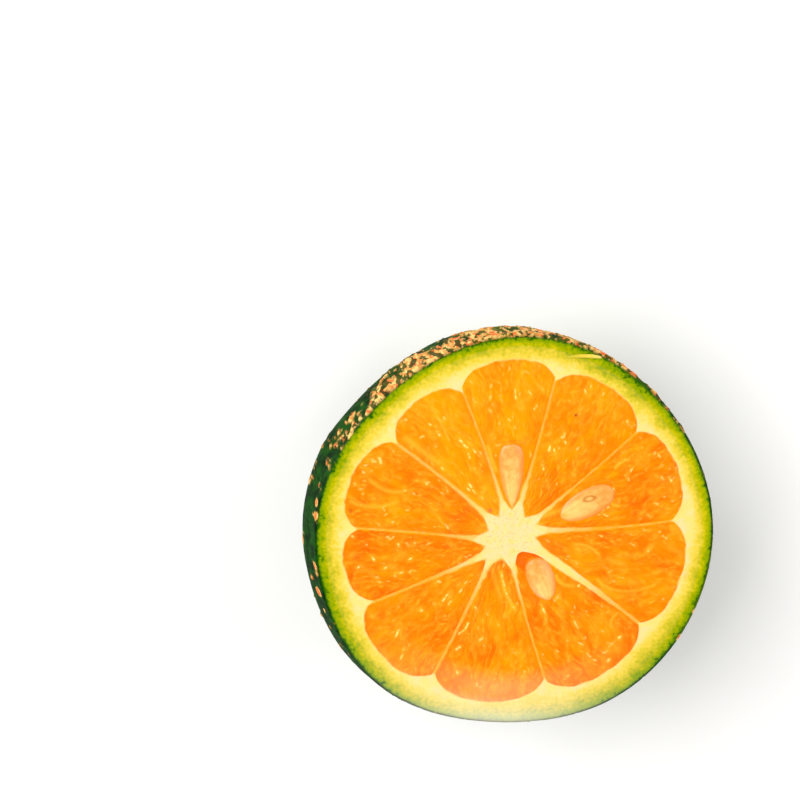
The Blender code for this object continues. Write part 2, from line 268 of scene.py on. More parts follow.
class RANGPUR_PG_stage(bpy.types.PropertyGroup):
    """Camera and light."""

    lens: FloatProperty(name="Lens", description="Focal length in millimetres", default=100.0)
    camera_distance: length("Camera distance", "From the middle of the cut face", 308.248 * MM)
    camera_tilt: FloatProperty(
        name="Camera tilt",
        description="Angle between the view and the normal of the face",
        default=math.radians(18.63659),
        subtype="ANGLE",
    )
    camera_azimuth: FloatProperty(
        name="Camera azimuth",
        description="Side of the half that the camera stands on",
        default=math.radians(120.0697),
        subtype="ANGLE",
    )
    picture_size: IntProperty(
        name="Picture size", description="Width of the picture in pixels", default=800
    )
    face_column: FloatProperty(
        name="Face column", description="Pixel column of the face's middle", default=516.0476
    )
    face_row: FloatProperty(
        name="Face row", description="Pixel row of the face's middle", default=536.922
    )
    light: FloatProperty(name="Light", description="Strength of all lights", default=1.0)


def smooth_step(value):
    """Zero below 0, one above 1, and 3v^2 - 2v^3 between them."""
    value = np.clip(value, 0.0, 1.0)
    return value * value * (3.0 - 2.0 * value)


def bell(value, width, power=2):
    """Bell curve, exp(-(value / width)^power)."""
    return np.exp(-((value / width) ** power))


def lattice_random(seed, *cells):
    """A fixed random number from 0 to 1 for each cell of a lattice.

    The cell's whole numbers are folded in one after another by exclusive or, multiplied by a
    large odd number, and shifted onto themselves.
    """
    mixed = np.full(np.broadcast(*cells).shape, 7919 * seed + 101, np.uint32)
    for cell in cells:
        mixed = (mixed ^ cell.astype(np.int64).astype(np.uint32)) * np.uint32(2654435761)
        mixed ^= mixed >> np.uint32(15)
    mixed = mixed * np.uint32(2246822519)
    mixed ^= mixed >> np.uint32(13)
    return mixed / 2.0**32


def cloud(seed, size, *places):
    """Smooth noise from -1 to 1: lattice numbers blended by a smooth step between corners."""
    floors = [np.floor(place / size) for place in places]
    parts = [smooth_step(place / size - floor) for place, floor in zip(places, floors)]
    total = 0.0
    for corner in itertools.product((0, 1), repeat=len(places)):
        weight = 1.0
        for part, step in zip(parts, corner):
            weight = weight * (part if step else 1.0 - part)
        cell = [floor + step for floor, step in zip(floors, corner)]
        total = total + weight * lattice_random(seed, *cell)
    return 2.0 * total - 1.0


def billows(seed, size, *places):
    """Three sheets of smooth noise, each half as coarse and half as strong as the last."""
    total = 0.0
    for octave in range(3):
        total = total + cloud(seed + octave, size / 2.0**octave, *places) / 2.0**octave
    return total / 1.75


def nearest_cells(seed, across, along):
    """Cell pattern over the plane with one random point in each unit square.

    Gives the distance to the nearest point, the distance to the second nearest, and the
    nearest one's random number.
    """
    column, row = np.floor(across), np.floor(along)
    nearest = np.full(across.shape, 9.0)
    second = nearest.copy()
    pick = np.zeros(across.shape)
    for step_across, step_along in itertools.product((-1, 0, 1), repeat=2):
        cell = (column + step_across, row + step_along)
        x = cell[0] + 0.08 + 0.84 * lattice_random(seed, *cell)
        y = cell[1] + 0.08 + 0.84 * lattice_random(seed + 1, *cell)
        gap = np.hypot(across - x, along - y)
        pick = np.where(gap < nearest, lattice_random(seed + 2, *cell), pick)
        second = np.where(gap < nearest, nearest, np.minimum(second, gap))
        nearest = np.minimum(nearest, gap)
    return nearest, second, pick


def strokes(seed, across, along, cell, share, long, wide, spread):
    """Short soft strokes, at most one to each square cell of a plane in metres.

    Each stroke is a two-way bell curve, exp(-(a / long)^2 - (b / wide)^2), in axes turned by
    up to the spread in radians, with its place, heading, size and strength drawn at random.
    """
    column, row = np.floor(across / cell), np.floor(along / cell)
    deepest = np.zeros(across.shape)
    for step_across, step_along in itertools.product((-1, 0, 1), repeat=2):
        place = (column + step_across, row + step_along)
        x = across - (place[0] + lattice_random(seed, *place)) * cell
        y = along - (place[1] + lattice_random(seed + 1, *place)) * cell
        heading = spread * (2.0 * lattice_random(seed + 2, *place) - 1.0)
        grow = 0.6 + 0.8 * lattice_random(seed + 3, *place)
        present = lattice_random(seed + 4, *place) < share
        strength = 0.45 + 0.55 * lattice_random(seed + 5, *place)
        a = y * np.cos(heading) + x * np.sin(heading)
        b = x * np.cos(heading) - y * np.sin(heading)
        stroke = np.exp(-((a / (long * grow)) ** 2) - (b / (wide * grow)) ** 2)
        deepest = np.maximum(deepest, present * strength * stroke)
    return deepest


# Points that stand for a listed line
LINE_STEPS = 24


def parabola(start, bend, end, step):
    """Place at a step from 0 to 1 along the parabola whose control point is the bend."""
    return start * (1.0 - step) ** 2 + bend * 2.0 * step * (1.0 - step) + end * step**2


def line_gap(x, y, start, bend, end):
    """Distance in metres to a line bent through three points given in millimetres.

    The line is a parabola, sampled at equal steps.
    """
    start, bend, end = (np.array(point) * MM for point in (start, bend, end))
    closest = np.full(x.shape, 1.0)
    for step in np.linspace(0.0, 1.0, LINE_STEPS):
        point = parabola(start, bend, end, step)
        closest = np.minimum(closest, np.hypot(x - point[0], y - point[1]))
    return closest


def full_turn(columns):
    """Angles, in radians, of the columns of a grid that is wound round an axis."""
    return np.linspace(0.0, 2.0 * np.pi, columns, endpoint=False)[None, :]


def wound_piece(first, rings, last, attributes):
    """Points, faces and attributes of a grid wound round an axis and closed by two points.

    A closing point takes the mean of the attributes of the ring beside it.
    """
    rows, columns = rings.shape[:2]
    ring = 1 + np.arange(rows * columns).reshape(rows, columns)
    beside = np.roll(ring, -1, axis=1)
    quads = np.stack((ring[:-1], beside[:-1], beside[1:], ring[1:]), axis=-1).reshape(-1, 4)
    start = np.stack((np.zeros(columns, int), beside[0], ring[0]), axis=-1)
    finish = np.stack((ring[-1], beside[-1], np.full(columns, rows * columns + 1)), axis=-1)
    points = np.concatenate(([first], rings.reshape(-1, 3), [last]))
    packed = {
        key: np.concatenate(([grid[0].mean()], grid.ravel(), [grid[-1].mean()]))
        for key, grid in attributes.items()
    }
    return points, quads.tolist() + start.tolist() + finish.tolist(), packed


def grid_normals(rings):
    """Outward unit normals of a wound grid, by the cross product of its two directions."""
    round_step = np.roll(rings, -1, axis=1) - np.roll(rings, 1, axis=1)
    row_step = np.gradient(rings, axis=0)
    normal = np.cross(round_step, row_step)
    return normal / np.maximum(np.linalg.norm(normal, axis=-1, keepdims=True), 1e-12)


# Edges bent by more than this stay sharp, so that a flat rim isn't shaded round
RIM_ANGLE = math.radians(50.0)


def add_piece(name, surface, material, nodes):
    """Make a smooth mesh piece with its attributes and material, hang it under the root body, and hide
    the parts it replaces.
    """
    points, faces, attributes = surface
    mesh = bpy.data.meshes.new(name)
    mesh.from_pydata(points.tolist(), [], faces)
    for key, values in attributes.items():
        layer = mesh.attributes.new(key, "FLOAT", "POINT")
        layer.data.foreach_set("value", np.ascontiguousarray(values, np.float32).ravel())
    mesh.shade_smooth()
    mesh.set_sharp_from_angle(angle=RIM_ANGLE)
    mesh.materials.append(material)
    piece = bpy.data.objects.new(name, mesh)
    bpy.context.scene.collection.objects.link(piece)
    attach(piece, "root")
    if nodes:
        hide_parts(*nodes)


def skin(size, azimuth, turn, inset=0.0, trim=0.0):
    """Radius and height of the skin, or of a shell under it, at an azimuth and a turn.

    The meridian is two half ellipses that meet at the waist, and the turn is the ellipse's
    angle below the waist in degrees.  Cosine lobes and a lean to one side fade towards the
    pole with the cosine of the turn.  Inset draws both ellipses in, trim only the ring.
    """
    spread = np.cos(np.radians(turn))
    reach = np.where(turn > 0.0, size.depth_below - inset, size.depth_above)
    height = size.waist_height - reach * np.sin(np.radians(turn))
    radius = size.waist_radius - inset
    for count, lobe, crest in LOBES:
        radius = radius + lobe * MM * spread * np.cos(count * (azimuth - np.radians(crest)))
    below = smooth_step((size.face_height - height) / LEAN_DEPTH)
    radius = radius + LEAN * below * spread * np.cos(azimuth - np.radians(LEAN_AZIMUTH))
    radius = radius * spread - trim
    return radius, height + np.zeros_like(radius)


def turn_at_height(size, height):
    """Turn below the waist, in degrees, of a height near the cut face."""
    return -np.degrees(np.arcsin((height - size.waist_height) / size.depth_above))


def rest_turn(size):
    """Turn, in degrees, at which the skin meets the flat spot below."""
    return np.degrees(np.arcsin(size.waist_height / size.depth_below))


def azimuth_bell(x, y, middle, spread):
    """Bell curve of how far a place's azimuth lies off a middle, both in degrees."""
    off = np.mod(np.degrees(np.arctan2(y, x)) - middle + 180.0, 360.0) - 180.0
    return bell(off, spread)


def peel_depth(size, x, y):
    """How deep below the skin a point of the cut lies, from 0 at the outline to 1 at the scale.

    Where the green reaches further in, the depth is divided by one plus bell curves of the
    azimuth, and by slow noise everywhere.
    """
    face_turn = turn_at_height(size, size.face_height)
    radius, _ = skin(size, np.arctan2(y, x), np.full(x.shape, face_turn))
    reach = 1.0 + 0.18 * cloud(95, 7.0 * MM, x, y)
    for middle, spread, further in GREEN_REACHES:
        reach = reach + further * azimuth_bell(x, y, middle, spread)
    return np.clip((radius - np.hypot(x, y)) / reach / RING_SCALE, 0.0, 1.0)


def bloom(x, y):
    """How strong the painted haze of light is: a bell curve of the azimuth, growing towards the skin."""
    distance = np.hypot(x, y) / MM
    paler = sum(share * smooth_step((distance - start) / rise) for share, start, rise in PAINTED_HAZE_RISES)
    return paler * azimuth_bell(x, y, PAINTED_HAZE_AZIMUTH, PAINTED_HAZE_SPREAD)


def face_grain(x, y):
    """Fine unevenness of the cut peel: smooth noise at two sizes."""
    return 0.03 * MM * billows(91, 0.9 * MM, x, y) + 0.015 * MM * cloud(217, 0.35 * MM, x, y)


def swellings(azimuth, turn, last_turn):
    """Low waves of the skin: sines round the fruit times sines down it, fading at both ends."""
    fade = np.clip(turn / SWELLING_FADE, 0.0, 1.0)
    fade = fade * np.clip((last_turn - turn) / SWELLING_FADE, 0.0, 1.0)
    rise = 0.0
    for height, round_waves, down_waves, round_phase, down_phase in SWELLINGS:
        around = np.sin(round_waves * azimuth + np.radians(round_phase))
        rise = rise + height * MM * around * np.sin(np.radians(down_waves * turn + down_phase))
    return fade * rise


def nearest_dimple(seed, azimuth, walked, radius, spacing):
    """Distance on the skin to the nearest of many evenly scattered points, and its random number.

    The skin is cut into bands of one spacing down the meridian, each band into as many cells
    as fit round it, and each cell holds one point off its middle.
    """
    mean_radius = radius.mean(axis=1)
    band = np.floor(walked / spacing) + np.zeros_like(radius)
    closest = np.full(radius.shape, 1.0)
    pick = np.zeros(radius.shape)
    for step in (-1, 0, 1):
        row = band + step
        ring = np.interp((row + 0.5) * spacing, walked[:, 0], mean_radius)
        count = np.maximum(np.round(2.0 * np.pi * ring / spacing), 4.0)
        place = azimuth / (2.0 * np.pi) * count
        for beside in (-1, 0, 1):
            cell = np.floor(place) + beside
            wrapped = np.mod(cell, count)
            centre = cell + 0.12 + 0.76 * lattice_random(seed, row, wrapped)
            level = (row + 0.12 + 0.76 * lattice_random(seed + 1, row, wrapped)) * spacing
            sideways = (place - centre) / count * 2.0 * np.pi * radius
            gap = np.hypot(sideways, walked - level)
            pick = np.where(gap < closest, lattice_random(seed + 2, row, wrapped), pick)
            closest = np.minimum(closest, gap)
    return closest, pick


# Share of the skin that russet covers just below the cut, by azimuth, and how far down it runs
RUSSET_AZIMUTHS = (-40.0, 20.0, 32.0, 45.0, 60.0, 90.0, 118.0, 138.0, 150.0, 165.0, 215.0, 320.0)
RUSSET_SHARES = (0.0, 0.08, 0.42, 0.50, 0.64, 0.78, 0.88, 0.70, 0.36, 0.12, 0.04, 0.0)
RUSSET_DEPTH = 11.0 * MM

# Azimuth from which the russet's azimuths above are counted
RUSSET_START = math.radians(RUSSET_AZIMUTHS[0])

# Small red spots lie in a band below the cut, and fewer, fainter ones are scattered below it
SPOTTED_DEPTH = 6.5 * MM
SPOT_SPACING = 4.6 * MM


def russet(azimuth, x, y, z, face_height):
    """Russet scab from 0 to 1: noise cut off at a level that follows the share covered.

    The noise is drawn out a little down the fruit, and the scab breaks up into flecks lower.
    """
    degrees = np.degrees(azimuth)
    share = np.interp(degrees, RUSSET_AZIMUTHS, RUSSET_SHARES)
    depth = (face_height - z) / RUSSET_DEPTH
    share = share * (1.0 - smooth_step(depth + 0.35 * billows(31, 5.0 * MM, x, y, z)))
    noise = 0.5 + 0.34 * billows(37, 1.2 * MM, x, y, 0.7 * z) + 0.16 * cloud(43, 0.5 * MM, x, y, 0.7 * z)
    cut_off = 0.5 + 0.25 * (1.0 - 2.0 * share)
    return smooth_step((noise - cut_off) / 0.12 + 0.5) * (share > 0.01)


def skin_marks(size, azimuth, walked, radius, x, y, z):
    """Russet crust, small spots, round scar and the scar's button, each from 0 to 1.

    The spots are ragged discs of mixed sizes about scattered points.  The scar is a smooth step
    of the distance to its middle, and the button is a bell curve of it.
    """
    counted = np.mod(azimuth - RUSSET_START, 2.0 * np.pi) + RUSSET_START + 0.0 * radius
    crust = russet(counted, x, y, z, size.face_height)
    gap, pick = nearest_dimple(71, azimuth, walked, radius, SPOT_SPACING)
    reach = (0.3 + 0.55 * np.mod(pick * 7.0, 1.0)) * MM
    gap = gap * (1.0 + 0.4 * cloud(73, 0.5 * MM, x, y, z))
    high = z > size.face_height - SPOTTED_DEPTH
    spot = np.clip((reach - gap) / (0.45 * MM), 0.0, 1.0) * (pick < np.where(high, 0.75, 0.25))
    spot = spot * np.where(high, 1.0, 0.45)
    scar_x = SCAR_REACH * np.cos(np.radians(SCAR_AZIMUTH))
    scar_y = SCAR_REACH * np.sin(np.radians(SCAR_AZIMUTH))
    scar_gap = np.hypot(x - scar_x, y - scar_y)
    below = z < 0.5 * size.waist_height
    scar = smooth_step(1.0 - scar_gap / (1.5 * SCAR_RADIUS)) * below
    return crust, spot, scar, bell(scar_gap, 0.35 * SCAR_RADIUS) * below


# Columns of the skin, and rows of its flat spot, outside, rounded edge, ring and inside
RIND_COLUMNS = 610
DISC_ROWS = 14
OUTSIDE_ROWS = 118
ROUNDING_ROWS = 6
RING_ROWS = 8
INNER_ROWS = 9
LAST_INNER_TURN = 84.0

# How far the ring dips at its seam with the pith, and how far both reach over the seam
RIND_SEAM_DIP = 0.02 * MM
SEAM_OVERLAP = 0.12 * MM


def rind_rows(size):
    """Turn, inset, trim and share of the radius of each row, from the rest round to the inside."""
    last_turn = rest_turn(size)
    edge_height = size.face_height - size.edge_rounding
    edge_turn = turn_at_height(size, edge_height)
    face_turn = turn_at_height(size, size.face_height)
    seam = size.rind_thickness + SEAM_OVERLAP
    bend = np.linspace(0.0, np.pi / 2.0, ROUNDING_ROWS + 1)[1:]
    rounding = edge_height + size.edge_rounding * np.sin(bend)
    turn = np.concatenate((
        np.full(DISC_ROWS, last_turn),
        np.linspace(last_turn, edge_turn, OUTSIDE_ROWS),
        turn_at_height(size, rounding),
        np.full(RING_ROWS, face_turn),
        np.linspace(face_turn, LAST_INNER_TURN, INNER_ROWS),
    ))
    trim = np.concatenate((
        np.zeros(DISC_ROWS + OUTSIDE_ROWS),
        size.edge_rounding * (1.0 - np.cos(bend)),
        np.linspace(size.edge_rounding, seam, RING_ROWS + 1)[1:],
        np.zeros(INNER_ROWS),
    ))
    inset = np.zeros(len(turn))
    inset[-INNER_ROWS:] = seam
    inner_fade = np.linspace(1.0, 0.0, INNER_ROWS) ** 4
    share = np.ones(len(turn))
    share[:DISC_ROWS] = np.linspace(0.0, 1.0, DISC_ROWS + 1)[1:] ** 0.8 * 0.995
    dip = np.zeros(len(turn))
    ring = slice(DISC_ROWS + OUTSIDE_ROWS + ROUNDING_ROWS, -INNER_ROWS)
    dip[ring] = RIND_SEAM_DIP * np.linspace(0.0, 1.0, RING_ROWS) ** 3
    dip[-INNER_ROWS:] = (RIND_SEAM_DIP + 0.4 * MM) * inner_fade
    return [part[:, None] for part in (turn, inset, trim, share, dip)]


def rind_surface(size):
    """The skin as one closed surface: flat spot, outside, rounded cut edge, ring and inside.

    The outside moves along its normal by the low swellings, by a low dome round every oil
    gland with a bell-shaped pit in it, by the russet crust, and by the dent of the scar.
    """
    azimuth = full_turn(RIND_COLUMNS)
    turn, inset, trim, share, dip = rind_rows(size)
    radius, height = skin(size, azimuth, turn, inset, trim)
    radius = radius * share
    outside_end = DISC_ROWS + OUTSIDE_ROWS
    ring_start = outside_end + ROUNDING_ROWS
    outside = np.zeros((len(turn), 1))
    outside[:outside_end] = 1.0
    outside[outside_end:ring_start, 0] = np.linspace(1.0, 0.2, ROUNDING_ROWS)
    radius = radius + swellings(azimuth, turn, rest_turn(size)) * outside
    height = height - dip
    rings = np.stack((radius * np.cos(azimuth), radius * np.sin(azimuth), height), axis=-1)
    normal = grid_normals(rings)

    step = np.diff(np.stack((radius.mean(axis=1), height.mean(axis=1))), axis=1)
    walked = np.concatenate(([0.0], np.cumsum(np.hypot(*step))))[:, None] + radius[0, 0]
    gap, pick = nearest_dimple(5, azimuth, walked, radius, size.gland_spacing)
    # The pit dents the skin, and in the material it also darkens it as painted shade
    pit = bell(gap, size.gland_spacing * (0.15 + 0.07 * pick)) * (0.45 + 0.55 * pick)
    dome = bell(gap, 0.42 * size.gland_spacing)
    x, y, z = rings[..., 0], rings[..., 1], rings[..., 2]
    crust, spot, scar, button = skin_marks(size, azimuth, walked, radius, x, y, z)
    crust, spot = crust * outside, spot * outside
    face = 0.0 * radius
    face[ring_start - 1:] = 1.0
    face[ring_start - 2] = 0.5
    attributes = {
        "depth": peel_depth(size, x, y),
        # Painted haze of light, fading down the skin below the cut
        "bloom": bloom(x, y) * np.exp((z - size.face_height) / PAINTED_HAZE_DROP),
        "face": face,
        "crust": crust,
        "spot": spot,
        "pit": pit,
        "scar": scar,
    }

    smooth = 1.0 - 0.75 * np.maximum(crust, spot)
    crumble = 0.6 + 0.4 * cloud(53, 0.45 * MM, x, y, z)
    move = 0.03 * MM * dome * smooth - size.gland_depth * pit * smooth
    move = move + size.crust_height * crust * crumble + 0.07 * MM * spot
    move = move + 0.05 * MM * billows(61, 3.2 * MM, x, y, z)
    move = (move - SCAR_DEPTH * scar + SCAR_BUTTON * button) * outside
    rings = rings + normal * move[..., None]
    rings[..., 2] = np.maximum(rings[..., 2], 0.0)
    ring = slice(ring_start, -INNER_ROWS)
    fade = np.linspace(0.0, 1.0, RING_ROWS)[:, None]
    rings[ring, :, 2] += face_grain(rings[ring, :, 0], rings[ring, :, 1]) * fade
    first = (0.0, 0.0, rings[0, :, 2].mean())
    last = (0.0, 0.0, size.waist_height - size.depth_below + inset[-1, 0])
    return wound_piece(first, rings, last, attributes)


# How far the pith dips at the seam, and the width over which it rises again
PITH_SEAM_DIP = 0.03 * MM
PITH_SEAM_RISE = 0.3 * MM

# Gap that the pith's outside leaves under the skin's inside
SHELL_GAP = 0.22 * MM

# Small brown mark on the pith, in millimetres: place in plan, radius and strength
PITH_MARK = ((24.2, -6.0), 0.28, 0.7)


def wall_azimuth(index, distance):
    """Azimuth, in radians, of a wall's middle at a distance from the core's centre.

    It is a + b / distance + c * distance, drawn through the wall's three given azimuths.
    """
    def terms(millimetres):
        return np.stack((np.ones_like(millimetres), 1.0 / millimetres, millimetres), axis=-1)

    count = len(WALLS)
    factors = np.linalg.solve(terms(WALL_DISTANCES), np.array(WALLS[index % count]))
    place = np.maximum(distance / MM, NEAREST_WALL_DISTANCE)
    return np.radians(terms(place) @ factors + 360.0 * (index // count))


def wall_stain(index, distance):
    """How far a wall is stained by juice, rising outwards from the core."""
    wall = index % len(WALLS)
    outward = distance / MM - WALL_STAIN_STARTS[wall]
    return WALL_STAINS[wall] * smooth_step(outward / WALL_STAIN_LENGTH)


def wall_clearance(index, distance, margin):
    """Angle between a wall's middle and its side: half its thickness over the distance.

    A wall swells where it leaves the core, by an exponential of the distance, and some walls
    are thicker along their inner part.
    """
    fullness = WALL_FULLNESS[index % len(WALLS)] - 1.0
    fullness = 1.0 + fullness * (1.0 - smooth_step(distance / WALL_FULL_LENGTH - 0.5))
    swell = WALL_ROOT_SWELL * np.exp((WALL_ROOT_START - distance) / WALL_ROOT_LENGTH)
    half = WALL_HALF_THICKNESSES[index % len(WALLS)] * MM * fullness + swell + margin
    return np.arcsin(np.clip(half / distance, 0.0, 0.9))


def segment_plan(index, across, out, margin):
    """Plan of a segment as a function of the place across it and the place out along it.

    Across runs from -1 at the first wall to 1 at the last, out from 0 at the tip to 1 at the
    outer edge.  The edge falls away towards the corners with a power of the place across and
    wavers a little, and the tip is a parabola, or blunter where the hollow is.
    """
    reach, slant, tip = (value * MM for value in SEGMENTS[index])
    waver = 0.10 * MM * cloud(400 + index, 0.22, across, 0.0 * across)
    edge = reach - margin + slant * across + waver * (1.0 - across**2)
    edge = edge - CORNER_DROP * np.abs(across) ** CORNER_SHARPNESS
    power = HOLLOW_TIP_POWER if index + 1 == HOLLOW_SEGMENT else TIP_POWER
    start = tip + margin + TIP_FLARE * np.abs(across) ** power
    distance = start + out * (edge - start)
    first = wall_azimuth(index, distance) + wall_clearance(index, distance, margin)
    last = wall_azimuth(index + 1, distance) - wall_clearance(index + 1, distance, margin)
    azimuth = (first + last) / 2.0 + across * (last - first) / 2.0
    half_width = distance * (last - first) / 2.0
    x = CORE_CENTRE[0] + distance * np.cos(azimuth)
    y = CORE_CENTRE[1] + distance * np.sin(azimuth)
    return x, y, distance, edge, start, half_width


def pocket_floor(size, distance, edge, margin):
    """Height of the underside of a segment: an ellipse over its distance from the core."""
    depth = size.depth_below - size.rind_thickness - 0.3 * MM - PITH_UNDER_SEGMENTS - margin
    fullness = np.clip(distance / (edge + OUTER_WALL_ALLOWANCE), 0.0, 1.0)
    return size.waist_height - depth * np.sqrt(1.0 - fullness**2)


# Columns across a pocket of the pith, rows of the pockets, core, outer ring and outside, and the
# place across a pocket, out of 1, where its floor begins
POCKET_COLUMNS = 30
POCKET_ROWS = 44
CORE_ROWS = 12
OUTER_RING_ROWS = 10
PITH_SHELL_ROWS = 12
WALL_FLOOR_STEP = 0.985


def pith_columns(size):
    """The pith's plan by column and row, sector after sector.

    Each sector holds one column on the middle of its first wall, one on each side of its
    pocket, and columns across the pocket's floor.  Rows run from the tip line to the outer
    edge.  Gives x, y, height, one on the walls and zero in the pockets, and the stain.
    """
    inner = np.sin(np.linspace(-0.5, 0.5, POCKET_COLUMNS) * np.pi) * WALL_FLOOR_STEP
    across = np.concatenate(([-1.0], inner, [1.0]))[None, :]
    out = np.linspace(0.0, 1.0, POCKET_ROWS)[:, None]
    plans = [segment_plan(index, across, out, 0.0) for index in range(len(SEGMENTS))]
    parts = []
    for index, (x, y, distance, edge, _, _) in enumerate(plans):
        before = plans[index - 1]
        middle = (distance[:, :1] + before[2][:, -1:]) / 2.0
        azimuth = wall_azimuth(index, middle)
        wall_x = CORE_CENTRE[0] + middle * np.cos(azimuth)
        wall_y = CORE_CENTRE[1] + middle * np.sin(azimuth)
        top = np.full(x.shape, size.face_height)
        floor = pocket_floor(size, distance, edge, 0.0)
        floor[:, 0] = floor[:, -1] = size.face_height
        floor[0] = floor[-1] = size.face_height
        z = np.minimum(top, floor)
        wall = np.zeros(x.shape)
        wall[:, 0] = wall[:, -1] = 1.0
        stain = wall.copy()
        stain[:, 0] = wall_stain(index, distance[:, 0])
        stain[:, -1] = wall_stain(index + 1, distance[:, -1])
        level = np.zeros(wall_x.shape) + size.face_height
        parts.append(np.stack((wall_x, wall_y, level, np.ones(wall_x.shape), wall_stain(index, middle))))
        parts.append(np.stack((x, y, z, wall, stain)))
    return np.concatenate(parts, axis=2)


def pith_surface(size):
    """The cream body as one closed surface: outside, outer ring, ten walls and pockets, core.

    Core rows are shares of the way from the core's centre to the tip line.  Outer rows are
    shares of the way from the pockets' outer edge to the seam with the skin.
    """
    x, y, z, wall, stain = pith_columns(size)
    edge_azimuth = np.unwrap(np.arctan2(y[-1], x[-1]))[None, :]
    face_turn = turn_at_height(size, size.face_height)
    seam_trim = size.rind_thickness - SEAM_OVERLAP
    seam_radius, _ = skin(size, edge_azimuth, np.array([[face_turn]]), 0.0, seam_trim)
    share = np.linspace(0.0, 1.0, OUTER_RING_ROWS + 1)[1:, None]
    ring_x = x[-1] + share * (seam_radius * np.cos(edge_azimuth) - x[-1])
    ring_y = y[-1] + share * (seam_radius * np.sin(edge_azimuth) - y[-1])
    gap = seam_radius - np.hypot(ring_x, ring_y)
    ring_z = size.face_height - PITH_SEAM_DIP * (1.0 - smooth_step(gap / PITH_SEAM_RISE))
    shell_turn = np.linspace(face_turn + 1.2, LAST_INNER_TURN, PITH_SHELL_ROWS)[:, None]
    shell_inset = size.rind_thickness + SHELL_GAP
    radius, shell_z = skin(size, edge_azimuth, shell_turn, shell_inset)
    core_share = np.linspace(1.0, 0.0, CORE_ROWS + 1)[1:-1, None]
    core_x = CORE_CENTRE[0] + core_share * (x[0] - CORE_CENTRE[0])
    core_y = CORE_CENTRE[1] + core_share * (y[0] - CORE_CENTRE[1])

    shell = np.stack((radius * np.cos(edge_azimuth), radius * np.sin(edge_azimuth), shell_z))
    ring = np.stack((ring_x, ring_y, ring_z))
    face = np.stack((x, y, z))
    core = np.stack((core_x, core_y, np.full(core_x.shape, size.face_height)))
    rings = np.concatenate((shell[:, ::-1], ring[:, ::-1], face[:, ::-1], core), axis=1)
    rings = np.moveaxis(rings, 0, -1)
    px, py = rings[..., 0], rings[..., 1]
    on_top = rings[..., 2] > size.face_height - PITH_SEAM_DIP - 0.01 * MM
    from_core = np.hypot(px - CORE_CENTRE[0], py - CORE_CENTRE[1])
    core_mask = 1.0 - smooth_step((from_core / MM - 2.8) / 3.2)
    pitted = 0.05 * MM * billows(223, 1.0 * MM, px, py) * core_mask
    rings[..., 2] += np.where(on_top, face_grain(px, py) + pitted, 0.0)

    first_face = PITH_SHELL_ROWS + OUTER_RING_ROWS
    last_face = first_face + POCKET_ROWS
    stained, pocket = np.zeros((2, *px.shape))
    stained[first_face + 1:last_face] = stain[-2::-1]
    # The pockets' sides and floors, seen down in the hollow, are painted in shade
    pocket[first_face + 1:last_face - 1] = 1.0 - wall[-2:0:-1]
    depth = peel_depth(size, px, py)
    depth[:PITH_SHELL_ROWS] = size.rind_thickness / RING_SCALE
    place, reach, strength = PITH_MARK
    mark_gap = np.hypot(px - place[0] * MM, py - place[1] * MM)
    attributes = {
        "stain": stained,
        "pocket": pocket,
        "depth": depth,
        "bloom": bloom(px, py),
        "core": core_mask,
        "dot": strength * bell(mark_gap, reach * MM, 4) * on_top,
    }
    first = (0.0, 0.0, size.waist_height - size.depth_below + shell_inset)
    return wound_piece(first, rings, (*CORE_CENTRE, size.face_height), attributes)


def seed_axes(name):
    """Point, unit direction, length, width, reach below and above the cut of a seed, in metres."""
    _, point, round_end, width, below, above, _, _ = SEEDS[name]
    point = np.array(point) * MM
    along = np.array(round_end) * MM - point
    reach = np.linalg.norm(along)
    return point, along / reach, reach, width * MM, below * MM, above * MM


def seed_fullness(name, step):
    """Size of a seed's section along it: a power from the point times one from the round end."""
    sharp, blunt = SEEDS[name][-2:]
    step = np.clip(step, 0.0, 1.0)
    widest = sharp / (sharp + blunt)
    return (step / widest) ** sharp * ((1.0 - step) / (1.0 - widest)) ** blunt


def seed_place(name, x, y, margin):
    """Place along a seed and place across it, where 1 is its outline widened by a margin."""
    point, along, reach, width, _, _ = seed_axes(name)
    forward = (x - point[0]) * along[0] + (y - point[1]) * along[1]
    sideways = (y - point[1]) * along[0] - (x - point[0]) * along[1]
    step = (forward + margin) / (reach + 2.0 * margin)
    half = seed_fullness(name, step) * (width / 2.0 + margin)
    return step, sideways / np.maximum(half, 0.05 * MM)


def turned_place(x, y, heading):
    """A place seen along and across a heading in degrees."""
    turned = np.radians(heading)
    return x * np.cos(turned) + y * np.sin(turned), y * np.cos(turned) - x * np.sin(turned)


def seed_top(size, name, x, y):
    """Height of a seed's upper side over the plan, or far below it outside the seed.

    The upper side is a shallow dome, one less a power of the place across, and the dome's
    height follows the square root of the seed's fullness.
    """
    _, _, _, _, _, above = seed_axes(name)
    step, place = seed_place(name, x, y, 0.0)
    inside = (step > 0.0) & (step < 1.0) & (np.abs(place) < 1.0)
    dome = 1.0 - np.clip(np.abs(place), 0.0, 1.0) ** SEED_DOME
    top = size.face_height - SEED_WAIST_DEPTH + np.sqrt(seed_fullness(name, step)) * above * dome
    return np.where(inside, top, -1.0)


def seed_zone(name, x, y, margin):
    """Place across a seed widened by a margin, and whether a point lies along its length."""
    step, place = seed_place(name, x, y, margin)
    return np.abs(place), (step > 0.0) & (step < 1.0)


